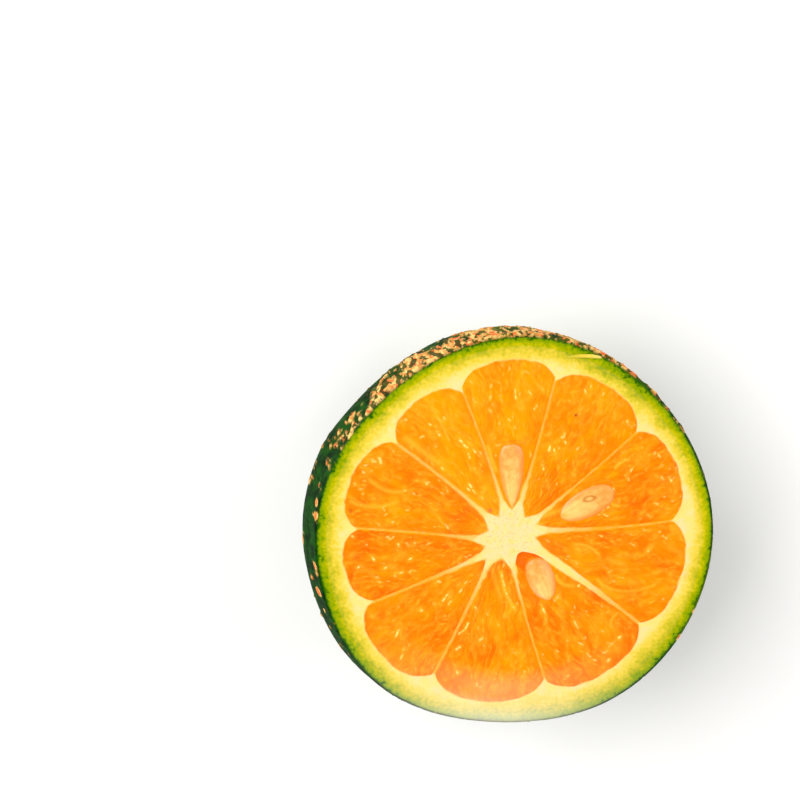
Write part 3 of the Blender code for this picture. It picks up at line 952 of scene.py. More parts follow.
def seed_surface(size, name):
    """A tapered seed: a shallow dome above the cut, a deeper superellipse below it.

    Wrinkles, which are sines of the place across and smooth noise, run along it.
    """
    point, along, reach, width, below, above = seed_axes(name)
    side = np.array((-along[1], along[0]))
    turns = np.linspace(0.0, np.pi, SEED_RINGS + 2)[1:-1, None]
    step = (1.0 - np.cos(turns)) / 2.0
    bend = full_turn(SEED_COLUMNS)
    full = seed_fullness(name, step)
    across = np.cos(bend) + 0.0 * step
    power = 2.0 / SEED_SECTION
    low_across = np.sign(across) * np.abs(across) ** power
    wrinkle = 0.012 * MM * np.sin(22.0 * across + 3.0 * step)
    wrinkle = wrinkle + 0.03 * MM * cloud(301, 0.4, 1.5 * across, 4.0 * step)
    dome = np.sqrt(full) * above * (1.0 - np.abs(across) ** SEED_DOME)
    dome = dome + wrinkle * (1.0 - across**2) * np.minimum(full, 1.0)
    keel = -(full**0.7) * below * np.abs(np.sin(bend)) ** power
    upper = (np.sin(bend) > 0.0) & (step > 0.0)
    waist = size.face_height - SEED_WAIST_DEPTH
    out = np.where(upper, across, low_across) * full * width / 2.0
    x = point[0] + along[0] * step * reach + side[0] * out
    y = point[1] + along[1] * step * reach + side[1] * out
    rings = np.stack((x, y, waist + np.where(upper, dome, keel)), axis=-1)
    edge = np.abs(across) + 0.06 * cloud(311, 0.5, 3.0 * across, 5.0 * step)
    tint = np.maximum(smooth_step((edge - 0.45) / 0.5), 0.75 * smooth_step((step - 0.66) / 0.34))
    lines = 0.5 + 0.5 * np.sin(14.0 * across + 1.5 * cloud(307, 0.3, step + 0.0 * bend, across))
    pale = (1.0 - smooth_step((step - 0.25) / 0.45)) * (0.45 + 0.55 * lines)
    eye = np.zeros(x.shape)
    if name == SEED_EYE[0]:
        _, middle, halves, heading = SEED_EYE
        a, b = turned_place(x / MM - middle[0], y / MM - middle[1], heading)
        eye = bell(np.hypot(a / halves[0], b / halves[1]) - 1.0, 0.4) * upper
    tail = 1.0 - smooth_step(step / 0.16) + 0.0 * bend
    attributes = {"tint": tint, "tail": tail, "pale": pale, "eye": eye}
    return wound_piece((*point, waist), rings, (*(point + along * reach), waist), attributes)


# Columns and rows of a segment's cut face, and rows of its skirt
FLESH_COLUMNS = 126
FLESH_ROWS = 142
SKIRT_ROWS = 14

# How far a segment reaches into its walls, and how its face rises from below the cut beside them
FLESH_OVERLAP = 0.05 * MM
BORDER_DIP = 0.05 * MM
BORDER_RISE = 0.07 * MM
BORDER_WIDTH = 0.2 * MM

# Gap under a seed's top, how far round a seed the flesh takes a painted shade, and how far round it the
# flesh lies level
SEED_CLEARANCE = 0.15 * MM
SEED_SHADE_REACH = 0.5 * MM
SEED_FLAT = 0.5 * MM

# How far the flesh lies under the cut round a seed, and how far a seed stands out of it
SEED_FLAT_DEPTH = 0.03 * MM
SEED_SHOWS = 0.02 * MM

# Place out along a segment that its underside closes towards, and the least depth there
BELLY = 0.6
BELLY_DEPTH = 0.6 * MM

# Pale lines listed for each segment, in millimetres: start, bend, end, width and strength
PALE_LINES = {
    1: (
        (13.6, 9.7, 14.3, 10.5, 15.4, 10.8, 0.22, 1.0), (13.0, 5.6, 13.0, 4.2, 14.3, 4.2, 0.22, 0.9),
        (3.6, 2.9, 5.0, 3.5, 6.7, 3.7, 0.5, 0.6),
    ),
    3: (
        (-4.2, 13.0, -3.6, 11.0, -3.0, 9.5, 0.3, 0.9),
    ),
    4: (
        (-12.0, 18.6, -10.6, 16.4, -9.6, 14.0, 0.2, 0.8),
        (-15.4, 14.2, -13.4, 12.6, -11.0, 10.8, 0.5, 0.7),
    ),
    5: (
        (-16.2, 13.2, -14.0, 11.6, -11.6, 9.8, 0.4, 0.5), (-23.0, 5.6, -20.0, 4.0, -16.6, 5.4, 0.3, 0.7),
        (-20.4, 8.6, -18.0, 6.2, -15.4, 7.0, 0.3, 0.7),
    ),
    8: (
        (-2.0, -5.0, -1.5, -8.4, -0.1, -10.2, 0.34, 1.0), (-3.2, -4.4, -2.8, -6.5, -2.0, -8.6, 0.4, 0.5),
    ),
    9: (
        (14.6, -11.4, 13.4, -12.2, 13.8, -13.4, 0.22, 0.8), (5.8, -5.8, 6.2, -7.2, 8.2, -7.2, 0.3, 0.8),
        (3.6, -9.8, 4.6, -10.8, 4.4, -12.6, 0.3, 0.7),
    ),
    10: (
        (11.6, -6.4, 14.4, -9.4, 19.6, -7.4, 0.24, 0.8), (8.5, -1.2, 10.3, -1.2, 11.6, -2.7, 0.26, 0.8),
        (13.0, -3.4, 14.0, -4.0, 15.2, -4.2, 0.4, 0.5),
    ),
}

# Painted highlights listed for each segment, in millimetres: both ends in plan, width and strength
PAINTED_GLINTS = {
    1: (
        (12.5, 4.3, 12.8, 4.0, 0.3, 1.0), (13.1, 5.7, 13.2, 4.9, 0.2, 0.9),
        (13.5, 6.7, 13.7, 6.1, 0.2, 0.9), (12.2, 3.6, 11.9, 3.2, 0.2, 0.8),
        (14.0, 10.3, 14.7, 10.6, 0.18, 0.7), (14.9, 10.8, 15.3, 10.7, 0.25, 0.9),
        (14.6, 11.9, 15.0, 11.7, 0.25, 0.7), (15.1, 8.6, 15.6, 7.9, 0.2, 0.8),
        (19.5, 11.5, 19.9, 11.1, 0.22, 0.8), (20.2, 8.2, 20.5, 7.8, 0.25, 0.8),
        (21.3, 7.9, 21.6, 7.6, 0.28, 0.9), (19.4, 4.5, 19.8, 4.3, 0.28, 0.9),
        (15.1, 5.5, 15.4, 4.9, 0.2, 0.6), (18.3, 2.9, 18.8, 2.6, 0.22, 0.7),
    ),
    2: (
        (9.1, 20.7, 9.3, 20.0, 0.26, 0.9), (7.0, 19.2, 7.2, 18.8, 0.22, 0.6),
        (8.1, 17.7, 8.6, 17.0, 0.2, 0.6), (4.4, 12.8, 4.3, 12.3, 0.3, 1.0),
        (5.0, 12.4, 5.1, 11.8, 0.22, 0.9), (5.5, 12.8, 5.7, 12.6, 0.22, 0.7),
        (3.4, 10.3, 3.6, 9.7, 0.28, 1.0), (4.0, 8.1, 4.0, 7.8, 0.25, 0.7),
        (6.0, 14.1, 6.6, 13.3, 0.24, 0.8), (11.5, 13.4, 11.7, 13.2, 0.24, 0.8),
        (13.8, 18.7, 14.0, 18.5, 0.28, 0.9), (15.1, 16.2, 15.3, 15.8, 0.26, 1.0),
        (14.5, 16.1, 14.7, 15.9, 0.2, 0.7),
    ),
    3: (
        (-0.6, 21.0, -0.5, 19.6, 0.2, 1.0), (1.3, 20.6, 1.6, 20.2, 0.22, 0.8),
        (2.1, 18.1, 2.5, 18.6, 0.22, 0.8), (3.0, 21.2, 3.1, 20.9, 0.24, 0.7),
        (-6.7, 22.1, -6.5, 21.8, 0.26, 0.8), (-4.1, 18.1, -3.9, 17.9, 0.3, 1.0),
        (-1.4, 16.8, -1.2, 16.6, 0.24, 0.7), (-3.2, 12.9, -2.4, 13.3, 0.24, 0.9),
    ),
    4: (
        (-11.2, 15.2, -10.9, 14.7, 0.26, 1.0), (-12.3, 16.3, -12.1, 16.1, 0.2, 0.8),
        (-13.5, 14.4, -13.1, 14.6, 0.22, 0.8), (-8.1, 14.1, -7.7, 13.6, 0.26, 1.0),
        (-7.5, 13.3, -7.1, 12.9, 0.28, 1.0), (-6.2, 12.6, -5.9, 12.2, 0.24, 0.9),
        (-6.9, 12.0, -6.7, 11.4, 0.2, 0.8), (-10.5, 10.1, -10.3, 9.9, 0.26, 1.0),
        (-6.7, 7.7, -6.4, 7.3, 0.28, 1.0), (-6.9, 7.1, -6.7, 6.9, 0.24, 0.9),
        (-6.2, 6.9, -5.8, 6.4, 0.2, 0.8),
    ),
    5: (
        (-19.1, 11.5, -18.9, 10.9, 0.4, 1.0), (-18.9, 12.4, -18.7, 12.1, 0.24, 0.8),
        (-17.5, 13.0, -17.1, 12.3, 0.26, 0.7), (-12.9, 8.3, -12.5, 7.8, 0.3, 1.0),
        (-12.0, 7.7, -11.8, 7.4, 0.24, 0.7), (-15.7, 7.2, -15.5, 7.0, 0.24, 0.7),
        (-16.6, 8.9, -16.2, 8.7, 0.2, 0.6), (-9.9, 7.4, -9.7, 6.7, 0.24, 0.7),
        (-11.9, 4.7, -11.7, 4.6, 0.24, 0.6),
    ),
    6: (
        (-22.0, -3.9, -21.6, -3.7, 0.34, 0.9), (-22.8, 0.7, -22.6, 0.5, 0.28, 0.9),
        (-20.1, -2.2, -19.7, -2.8, 0.26, 0.9), (-16.4, -0.6, -16.3, -1.0, 0.26, 1.0),
        (-14.9, -2.9, -14.6, -2.7, 0.28, 1.0), (-18.3, -4.1, -18.1, -3.9, 0.3, 0.9),
        (-16.3, -4.8, -15.8, -4.6, 0.24, 1.0), (-14.9, -4.7, -14.5, -4.4, 0.2, 0.7),
    ),
    7: (
        (-9.2, -7.7, -10.1, -8.9, 0.24, 1.0), (-11.2, -9.4, -11.0, -9.3, 0.24, 0.8),
        (-13.1, -10.3, -12.9, -10.2, 0.24, 0.8), (-6.8, -6.2, -7.4, -6.8, 0.24, 0.8),
        (-16.2, -13.0, -16.6, -13.9, 0.26, 0.9), (-15.5, -15.9, -15.3, -15.7, 0.24, 1.0),
        (-15.6, -16.5, -15.9, -17.2, 0.22, 0.9),
    ),
    8: (
        (-1.9, -5.4, -1.2, -8.2, 0.4, 0.62), (-1.2, -8.2, -0.2, -10.1, 0.36, 0.62),
        (-4.8, -14.8, -4.5, -14.5, 0.4, 1.0), (-4.3, -15.6, -4.2, -15.2, 0.2, 0.7),
        (-8.1, -16.1, -7.6, -15.7, 0.26, 1.0), (-6.5, -12.3, -6.9, -13.2, 0.22, 1.0),
        (-6.9, -13.2, -7.8, -13.8, 0.22, 1.0), (-5.5, -10.0, -5.3, -10.5, 0.26, 0.8),
        (-3.9, -10.9, -3.8, -11.1, 0.24, 0.7), (-8.0, -19.2, -7.9, -19.6, 0.26, 0.9),
        (-2.8, -21.9, -2.6, -21.7, 0.3, 0.8),
    ),
    9: (
        (5.9, -8.9, 6.1, -8.7, 0.28, 1.0), (8.9, -7.3, 9.1, -7.1, 0.26, 1.0),
        (4.0, -10.4, 4.3, -11.2, 0.24, 1.0), (4.4, -11.9, 4.5, -12.4, 0.2, 0.8),
        (8.5, -12.4, 9.0, -13.3, 0.28, 0.9), (12.3, -13.8, 12.6, -14.0, 0.24, 0.8),
        (14.9, -15.0, 15.2, -14.8, 0.32, 1.0), (14.3, -15.5, 13.6, -16.3, 0.24, 0.8),
        (13.0, -17.1, 13.3, -16.9, 0.32, 1.0), (13.4, -18.5, 13.6, -18.2, 0.32, 1.0),
        (9.3, -16.0, 9.5, -16.2, 0.24, 0.6), (9.0, -20.8, 9.7, -20.0, 0.22, 0.7),
        (7.3, -20.9, 7.9, -20.4, 0.22, 0.7), (13.4, -11.1, 12.6, -11.4, 0.2, 0.7),
    ),
    10: (
        (19.5, -0.1, 19.8, -0.3, 0.24, 0.8), (16.0, -1.2, 16.8, -1.6, 0.2, 0.6),
        (18.6, -2.3, 18.8, -3.2, 0.22, 0.6), (13.2, -5.3, 13.5, -5.1, 0.26, 0.7),
        (14.6, -4.8, 15.2, -5.6, 0.2, 0.5), (19.4, -3.9, 20.4, -4.2, 0.22, 0.5),
    ),
}

# Small dark marks in the flesh: segment, place, radius and strength
MARKS = ((2, (7.9, 17.2), 0.22, 0.9), (5, (-23.0, 4.3), 0.42, 0.5))

# Small red mark at the tip of the fourth segment: place and radius
RED_MARK = np.array((-3.7, 3.9)) * MM
RED_MARK_RADIUS = 0.3 * MM

# Widths, as shares of a listed painted highlight's own, of its bright middle and of its pale halo
FLECK_CORE = 0.62
FLECK_HALO = 1.5

# How far in from a segment's sides and tip its rim takes the colour of the walls and pith
RIM_FADE = 0.25 * MM
TIP_FADE = 0.6 * MM


def hand_set(index, x, y, ragged):
    """Painted highlights with a pale painted halo, pale lines and dark marks, all listed in the tables.

    Each is the greatest of its bell curves of the distance, times their strengths.
    """
    bright, halo, line, mark = np.zeros((4, *x.shape))
    for *ends, width, strength in PAINTED_GLINTS.get(index + 1, ()):
        first, last = np.reshape(ends, (2, 2))
        gap = line_gap(x, y, first, (first + last) / 2.0, last)
        bright = np.maximum(bright, strength * bell(gap, FLECK_CORE * width * MM))
        halo = np.maximum(halo, strength * bell(gap, FLECK_HALO * width * MM))
    for *places, width, strength in PALE_LINES.get(index + 1, ()):
        gap = line_gap(x, y, *np.reshape(places, (3, 2)))
        line = np.maximum(line, strength * bell(gap, width * MM) * (0.7 + 0.3 * ragged))
    for number, place, radius, strength in MARKS:
        if number == index + 1:
            gap = np.hypot(x - place[0] * MM, y - place[1] * MM)
            mark = np.maximum(mark, strength * bell(gap, radius * MM, 4))
    return bright, halo, line, mark


def flesh_pattern(size, index, across, out, plan):
    """Pattern of the juice sacs on the cut face of one segment.

    The sacs are a cell pattern in fan coordinates, bent by smooth noise, so they taper towards
    the core, and each has its own tone.  Pale membranes show in patches, most of them outwards,
    along the sacs' borders and along the lines where a slow noise is near zero.  Soft strokes
    are torn sacs, short ones are painted highlights, and a few are dark.  The listed lines,
    painted highlights and marks are laid over them.
    """
    x, y, distance, edge, start, half_width = plan
    seed = 500 + 60 * index
    outward = (distance - start) / (edge - start)
    bend = 0.5 * MM * billows(seed, 3.0 * MM, x, y)
    sideways = across * half_width + bend
    fan = across * half_width[-1:, :].max() / size.sac_width + bend / (0.45 * MM)
    row = distance / size.sac_length + 0.45 * cloud(seed + 3, 3.1 * MM, x, y)
    nearest, second, pick = nearest_cells(seed + 4, fan, row)
    apart = second - nearest
    patch = 0.5 + 0.5 * billows(seed + 7, 2.8 * MM, x, y)
    outer = 0.15 + 0.85 * smooth_step((outward - 0.1) / 0.6)
    seam = bell(apart, 0.2) * smooth_step((patch - 0.5) / 0.2) * outer
    curl = cloud(seed + 10, 2.3 * MM, 1.4 * sideways, 0.8 * distance)
    curl = curl + 0.25 * cloud(seed + 11, 1.1 * MM, x, y)
    curl = bell(curl, 0.16) * smooth_step((0.52 - patch) / 0.2) * outer
    wisp = billows(seed + 12, 1.0 * MM, 1.5 * sideways, 0.7 * distance)
    wisp = smooth_step((wisp - 0.15) / 0.5) * (0.4 + 0.6 * outer)
    ragged = 0.75 + 0.5 * cloud(seed + 15, 0.3 * MM, x, y)
    blob = strokes(seed + 16, sideways, distance, 1.7 * MM, 0.55, 0.7 * MM, 0.34 * MM, 0.9)
    torn = strokes(seed + 22, sideways, distance, 0.95 * MM, 0.6, 0.5 * MM, 0.14 * MM, 0.6)
    crowd = smooth_step((billows(seed + 28, 3.4 * MM, x, y) + 0.3) / 0.6)
    torn = torn * (0.4 + 0.6 * crowd) * ragged
    # These short strokes and the listed ones are painted highlights on the wet sacs
    spark = strokes(seed + 31, sideways, distance, 1.3 * MM, 0.5, 0.46 * MM, 0.18 * MM, 0.8)
    glint = smooth_step((spark * ragged - 0.38) / 0.25) * crowd
    bright, halo, line, mark = hand_set(index, x, y, ragged)
    glint = np.maximum(0.5 * glint, 0.9 * smooth_step((bright * ragged - 0.3) / 0.5))
    fleck = strokes(seed + 37, sideways, distance, 1.3 * MM, 0.3, 0.3 * MM, 0.13 * MM, 1.5)
    side_gap = (1.0 - np.abs(across)) * half_width
    end_gap = np.minimum(out, 1.0 - out) * (edge - start)
    border = np.minimum(side_gap, end_gap)
    inside = smooth_step(border / (0.6 * MM))
    layers = (0.5 * seam * ragged, 0.5 * curl * ragged, 0.35 * wisp, 0.75 * blob * ragged, 0.95 * torn)
    # The pale layer also holds the painted halo round the listed painted highlights
    pale = np.maximum(np.maximum.reduce((*layers, 0.5 * halo)) * inside, line)
    # Each segment's tone starts from its painted light and shade
    tone = 0.5 + SEGMENT_LIGHT_SHADE[index] + 0.35 * (pick - 0.5) * smooth_step(apart / 0.4)
    tone = tone + 0.45 * billows(seed + 42, 4.2 * MM, x, y)
    tone = tone + 0.25 * billows(seed + 45, 1.2 * MM, sideways, distance / 1.5)
    shift = 0.11 * MM * cloud(seed + 49, 0.8 * MM, x, y) + 0.05 * MM * cloud(seed + 50, 0.3 * MM, x, y)
    near_core = np.exp(-(distance - start) / (3.0 * MM))
    side_fade = RIM_FADE * (1.0 + 0.7 * near_core)
    end_fade = np.where(out < 0.5, TIP_FADE, RIM_FADE)
    lift = 0.04 * smooth_step(apart / 0.5) - 0.02 * seam + 0.05 * torn + 0.06 * glint + 0.05 * blob
    lift = lift + 0.03 * billows(seed + 52, 1.1 * MM, x, y)
    walls = wall_stain(index, distance), wall_stain(index + 1, distance)
    attributes = {
        "tone": np.clip(tone, 0.0, 1.0),
        "pale": pale,
        "glint": glint * inside,
        "side": smooth_step(1.0 - (side_gap + shift) / side_fade),
        "end": smooth_step(1.0 - (end_gap + shift) / end_fade),
        "stain": np.where(across < 0.0, *walls),
        "mark": np.maximum(0.3 * fleck * crowd * outer * inside, mark),
        "bloom": bloom(x, y),
        "red": bell(np.hypot(x - RED_MARK[0], y - RED_MARK[1]), RED_MARK_RADIUS, 4),
    }
    return lift * MM * inside, border, attributes


def flesh_surface(size, index):
    """One segment as a closed surface: a fine cut face, a skirt and a domed underside.

    The face starts just below the cut at the walls, rises to it and then gently to a crown.
    Where a seed stands higher it drops a little below the seed's top, and it is hollowed out
    by an ellipsoid at the lower seed's core end.
    """
    across = np.linspace(-1.0, 1.0, FLESH_COLUMNS)[None, :]
    out = np.linspace(0.0, 1.0, FLESH_ROWS)[:, None]
    plan = segment_plan(index, across, out, -FLESH_OVERLAP)
    x, y = plan[:2]
    lift, border, attributes = flesh_pattern(size, index, across, out, plan)
    crown = (1.0 - across**4) * (1.0 - (2.0 * out - 1.0) ** 4)
    z = size.face_height - BORDER_DIP + BORDER_RISE * smooth_step(border / BORDER_WIDTH)
    z = z + size.crown * crown + lift
    deep = np.zeros(x.shape)
    if index + 1 == HOLLOW_SEGMENT:
        a, b = turned_place(x - HOLLOW_MIDDLE[0], y - HOLLOW_MIDDLE[1], HOLLOW_AZIMUTH)
        bowl = 1.0 - (a / HOLLOW_HALF_SIZES[0]) ** 2 - (b / HOLLOW_HALF_SIZES[1]) ** 2
        floor = size.face_height - HOLLOW_HALF_SIZES[2] * np.sqrt(np.clip(bowl, 0.0, 1.0))
        z = np.where(bowl > 0.0, np.minimum(z, floor), z)
        # Painted shade over the hollow, where rim colours, membranes and highlights are taken out
        deep = smooth_step((bowl + 0.1) / 0.3)
        for key in ("side", "end", "glint", "pale"):
            attributes[key] = attributes[key] * (1.0 - deep)
    for name in SEEDS:
        if SEEDS[name][0] == index + 1:
            place, beside = seed_zone(name, x, y, SEED_FLAT)
            flat = (1.0 - smooth_step((place - 0.85) / 0.6)) * beside
            z = z + flat * (size.face_height - SEED_FLAT_DEPTH - z) * (deep < 0.01)
            top = seed_top(size, name, x, y)
            z = np.where(top > z + SEED_SHOWS, top - SEED_CLEARANCE, z)
            # A faint painted shade round each seed, where it meets the flesh
            place, beside = seed_zone(name, x, y, SEED_SHADE_REACH)
            near = np.clip(1.0 - place, 0.0, 1.0) * beside
            deep = np.maximum(deep, 0.12 * smooth_step(near / 0.3))
    attributes["deep"] = deep

    number = np.arange(FLESH_ROWS * FLESH_COLUMNS).reshape(FLESH_ROWS, FLESH_COLUMNS)
    quads = np.stack((number[:-1, :-1], number[1:, :-1], number[1:, 1:], number[:-1, 1:]), axis=-1)
    loop = np.concatenate((number[:-1, 0], number[-1, :-1], number[:0:-1, -1], number[0, :0:-1]))
    shrink = np.linspace(1.0, 0.0, SKIRT_ROWS + 1)[:-1, None] ** 0.8
    low_across = (across + 0.0 * out).ravel()[loop] * shrink
    low_out = BELLY + ((out + 0.0 * across).ravel()[loop] - BELLY) * shrink
    low_x, low_y, low_distance, low_edge, _, _ = segment_plan(index, low_across, low_out, -FLESH_OVERLAP)
    low_z = pocket_floor(size, low_distance, low_edge, -FLESH_OVERLAP)
    skirt = np.stack((low_x, low_y, np.minimum(low_z, size.face_height - BELLY_DEPTH)), axis=-1)
    end = segment_plan(index, np.zeros((1, 1)), np.full((1, 1), BELLY), -FLESH_OVERLAP)
    last = np.concatenate((*end[:2], pocket_floor(size, end[2], end[3], 0.0)), axis=1)
    top = np.stack((x, y, z), axis=-1)
    points = np.concatenate((top.reshape(-1, 3), skirt.reshape(-1, 3), last))
    lower = number.size + np.arange(low_across.size).reshape(low_across.shape)
    rings = np.concatenate((loop[None, :], lower))
    beside = np.roll(rings, -1, axis=1)
    sides = np.stack((rings[1:], beside[1:], beside[:-1], rings[:-1]), axis=-1)
    cap = np.stack((np.full(len(loop), len(points) - 1), beside[-1], rings[-1]), axis=-1)
    faces = quads.reshape(-1, 4).tolist() + sides.reshape(-1, 4).tolist() + cap.tolist()
    below = np.zeros(len(points) - number.size)
    return points, faces, {key: np.append(grid.ravel(), below) for key, grid in attributes.items()}


# Sliver of peel that the knife left on the cut: its ends and the bend between them, in plan
SLIVER_START = np.array((6.3, 25.2)) * MM
SLIVER_BEND = np.array((9.2, 25.75)) * MM
SLIVER_END = np.array((11.9, 25.0)) * MM

# Its rings and columns, how far its end drops at the skin, and how far its middle arches
SLIVER_RINGS = 72
SLIVER_COLUMNS = 28
SLIVER_DROP = 0.2 * MM
SLIVER_ARCH = 0.1 * MM


def sliver_surface(size):
    """A thin tapered strip: an ellipse carried along a parabola that lies on the cut face.

    Its width grows from a point by a sine of the way along and stays broad at the skin, where
    the strip follows the rounded edge down.
    """
    step = np.linspace(0.0, 1.0, SLIVER_RINGS + 2)[1:-1, None]
    bend = full_turn(SLIVER_COLUMNS)
    start, middle, end = (point[:, None, None] for point in (SLIVER_START, SLIVER_BEND, SLIVER_END))
    line = parabola(start, middle, end, step)
    ahead = 2.0 * (middle - start) * (1.0 - step) + 2.0 * (end - middle) * step
    ahead = ahead / np.linalg.norm(ahead, axis=0)
    full = np.sin(np.pi * step**0.8) ** 0.55 * (0.8 + 0.2 * step)
    full = full * (1.0 + 0.12 * cloud(601, 0.16, step, 0.0 * step))
    side = full * np.cos(bend) * size.sliver_width / 2.0
    top = size.face_height + SLIVER_ARCH * np.sin(np.pi * step)
    top = top - SLIVER_DROP * smooth_step((step - 0.75) / 0.25)
    z = top + full * np.sin(bend) * size.sliver_height / 2.0
    rings = np.stack((line[0] - ahead[1] * side, line[1] + ahead[0] * side, z), axis=-1)[:, ::-1]
    first = (*SLIVER_START, size.face_height)
    last = (*SLIVER_END, size.face_height - SLIVER_DROP)
    return wound_piece(first, rings, last, {"way": step + 0.0 * bend})


class Finish:
    """One material in the making: its nodes, its shader and the sidebar's colours.

    An input is a number, a node's output that is linked to it, or the name of a colour.
    """

    def __init__(self, name, colours):
        self.material = bpy.data.materials.new(name)
        self.material.use_nodes = True
        self.tree = self.material.node_tree
        self.shader = self.tree.nodes["Principled BSDF"]
        self.colours = colours
        self.place = self.add("ShaderNodeTexCoord", "Object", {})

    def colour(self, name):
        """A colour of the sidebar by its name."""
        return tuple(getattr(self.colours, name))

    def feed(self, node, inputs):
        """Set or link each of a node's inputs."""
        for key, value in inputs.items():
            if isinstance(value, bpy.types.NodeSocket):
                self.tree.links.new(value, node.inputs[key])
            else:
                value = self.colour(value) if isinstance(value, str) else value
                node.inputs[key].default_value = value

    def add(self, kind, output, inputs, **settings):
        """Add one node, set its properties, feed its inputs and give one of its outputs."""
        made = self.tree.nodes.new(kind)
        for key, value in settings.items():
            setattr(made, key, value)
        self.feed(made, inputs)
        return made.outputs[output]

    def read(self, name):
        """The value of a point attribute."""
        return self.add("ShaderNodeAttribute", "Fac", {}, attribute_name=name)

    def grain(self, size, detail=2.0, rough=0.5, place=None):
        """Noise from 0 to 1 whose features are about one size across."""
        place = self.place if place is None else place
        inputs = {"Vector": place, "Scale": 1.0 / size, "Detail": detail, "Roughness": rough}
        return self.add("ShaderNodeTexNoise", "Fac", inputs)

    def sums(self, operation, first, second):
        """One sum of two values."""
        return self.add("ShaderNodeMath", 0, {0: first, 1: second}, operation=operation)

    def times(self, first, second):
        """Two values multiplied."""
        return self.sums("MULTIPLY", first, second)

    def waver(self, share, size, detail=2.0, rough=0.5):
        """Noise about zero, from minus half a share to half a share."""
        return self.times(self.sums("SUBTRACT", self.grain(size, detail, rough), 0.5), share)

    def stretch(self, value, low, high, to_low=0.0, to_high=1.0):
        """Map a value from low and high smoothly to the two new ends."""
        inputs = {"Value": value, "From Min": low, "From Max": high, "To Min": to_low, "To Max": to_high}
        return self.add("ShaderNodeMapRange", "Result", inputs, interpolation_type="SMOOTHSTEP")

    def mix(self, share, first, second):
        """First colour where the share is 0, second where it is 1."""
        return self.add("ShaderNodeMix", 2, {0: share, 6: first, 7: second}, data_type="RGBA")

    def over(self, body, *layers):
        """Lay colours over a body, each by an attribute that may be weakened by a share."""
        for name, colour, *share in layers:
            amount = self.times(self.read(name), share[0]) if share else self.read(name)
            body = self.mix(amount, body, colour)
        return body

    def ramp(self, value, *stops):
        """Colours at stops from 0 to 1, blended between them."""
        blended = self.add("ShaderNodeValToRGB", "Color", {"Fac": value})
        elements = blended.node.color_ramp.elements
        stops = [(position, self.colour(name)) for position, name in stops]
        elements[0].position, elements[0].color = stops[0]
        elements[1].position, elements[1].color = stops[-1]
        for position, colour in stops[1:-1]:
            elements.new(position).color = colour
        return blended

    def bump(self, height, strength, distance):
        """A bumped normal from a height."""
        inputs = {"Height": height, "Strength": strength, "Distance": distance}
        return self.add("ShaderNodeBump", "Normal", inputs)

    def soften(self, weight, radii, scale):
        """Let light in under the surface."""
        inputs = {"Subsurface Weight": weight, "Subsurface Radius": radii, "Subsurface Scale": scale}
        self.feed(self.shader, inputs)

    def wet(self, weight, rough):
        """Lay a clear wet coat over the surface."""
        self.feed(self.shader, {"Coat Weight": weight, "Coat Roughness": rough})

    def end(self, body, normal, rough, gloss=0.5):
        """Give the shader its colour, normal, roughness and gloss."""
        inputs = {"Base Color": body, "Normal": normal, "Roughness": rough, "Specular IOR Level": gloss}
        self.feed(self.shader, inputs)
        return self.material


def skin_material(colours):
    """Glossy dark green skin with olive patches, netted russet crust, spots and its cut ring.

    It takes a painted whitish haze of light beside the lowest part of the cut.
    """
    rind = Finish("rangpur_skin", colours)
    crust, spot, face = rind.read("crust"), rind.read("spot"), rind.read("face")
    fine = rind.stretch(rind.grain(1.8 * MM, 4.0, 0.6), 0.35, 0.7)
    green = rind.mix(fine, "skin_dark", "skin_green")
    patches = rind.stretch(rind.grain(15.0 * MM, 5.0, 0.55), 0.42, 0.68)
    axes = rind.add("ShaderNodeSeparateXYZ", 0, {0: rind.place}).node.outputs
    low = rind.stretch(axes["Z"], 2.0 * MM, 15.0 * MM, 1.0, 0.0)
    # Olive patches fade out towards the left side, whose darker green is painted shade
    left = rind.stretch(axes["X"], -24.0 * MM, 0.0)
    ripe_and_shade = rind.times(rind.times(rind.sums("ADD", patches, low), left), 0.75)
    green = rind.mix(rind.sums("MINIMUM", ripe_and_shade, 0.85), green, "skin_olive")
    cells = {"Vector": rind.place, "Scale": 1.0 / (1.05 * MM)}
    dimple_and_shade = rind.stretch(rind.add("ShaderNodeTexVoronoi", "Distance", cells), 0.1, 0.42, 1.0, 0.0)
    # Dimples and gland pits are darkened with painted shade, besides their bumps and dents
    green = rind.mix(rind.times(dimple_and_shade, 0.3), green, "skin_dark")
    green = rind.over(green, ("pit", "skin_dark", 0.45))
    down = rind.add("ShaderNodeMapping", 0, {"Vector": rind.place, "Scale": (1.0, 1.0, 0.5)})
    core = rind.stretch(rind.grain(0.65 * MM, place=down), 0.53, 0.62, 0.0, 0.95)
    light = rind.stretch(rind.grain(0.6 * MM, place=down), 0.4, 0.6)
    gaps = rind.stretch(rind.grain(0.8 * MM, place=down), 0.44, 0.5, 0.9, 0.0)
    scab = rind.mix(light, "crust_tan", "crust_pale")
    green = rind.mix(crust, green, rind.mix(gaps, rind.mix(core, scab, "crust_red"), green))
    green = rind.mix(rind.stretch(spot, 0.0, 0.35), green, scab)
    green = rind.mix(rind.stretch(spot, 0.4, 0.7), green, "crust_red")
    green = rind.over(green, ("scar", "blemish", 0.8), ("bloom", "bloom"))
    dull = rind.sums("MAXIMUM", crust, face)
    pores = rind.times(rind.grain(0.18 * MM), 0.35)
    dimpled = rind.times(dimple_and_shade, rind.sums("SUBTRACT", 1.0, dull))
    dented = rind.bump(rind.sums("SUBTRACT", pores, dimpled), 0.5, 0.12 * MM)
    rind.wet(0.1, 0.2)
    rind.feed(rind.shader, {"Coat Normal": dented})
    rough = rind.stretch(dull, 0.0, 1.0, 0.34, 0.65)
    return rind.end(rind.mix(face, green, ring_paint(rind)), dented, rough, 0.0)


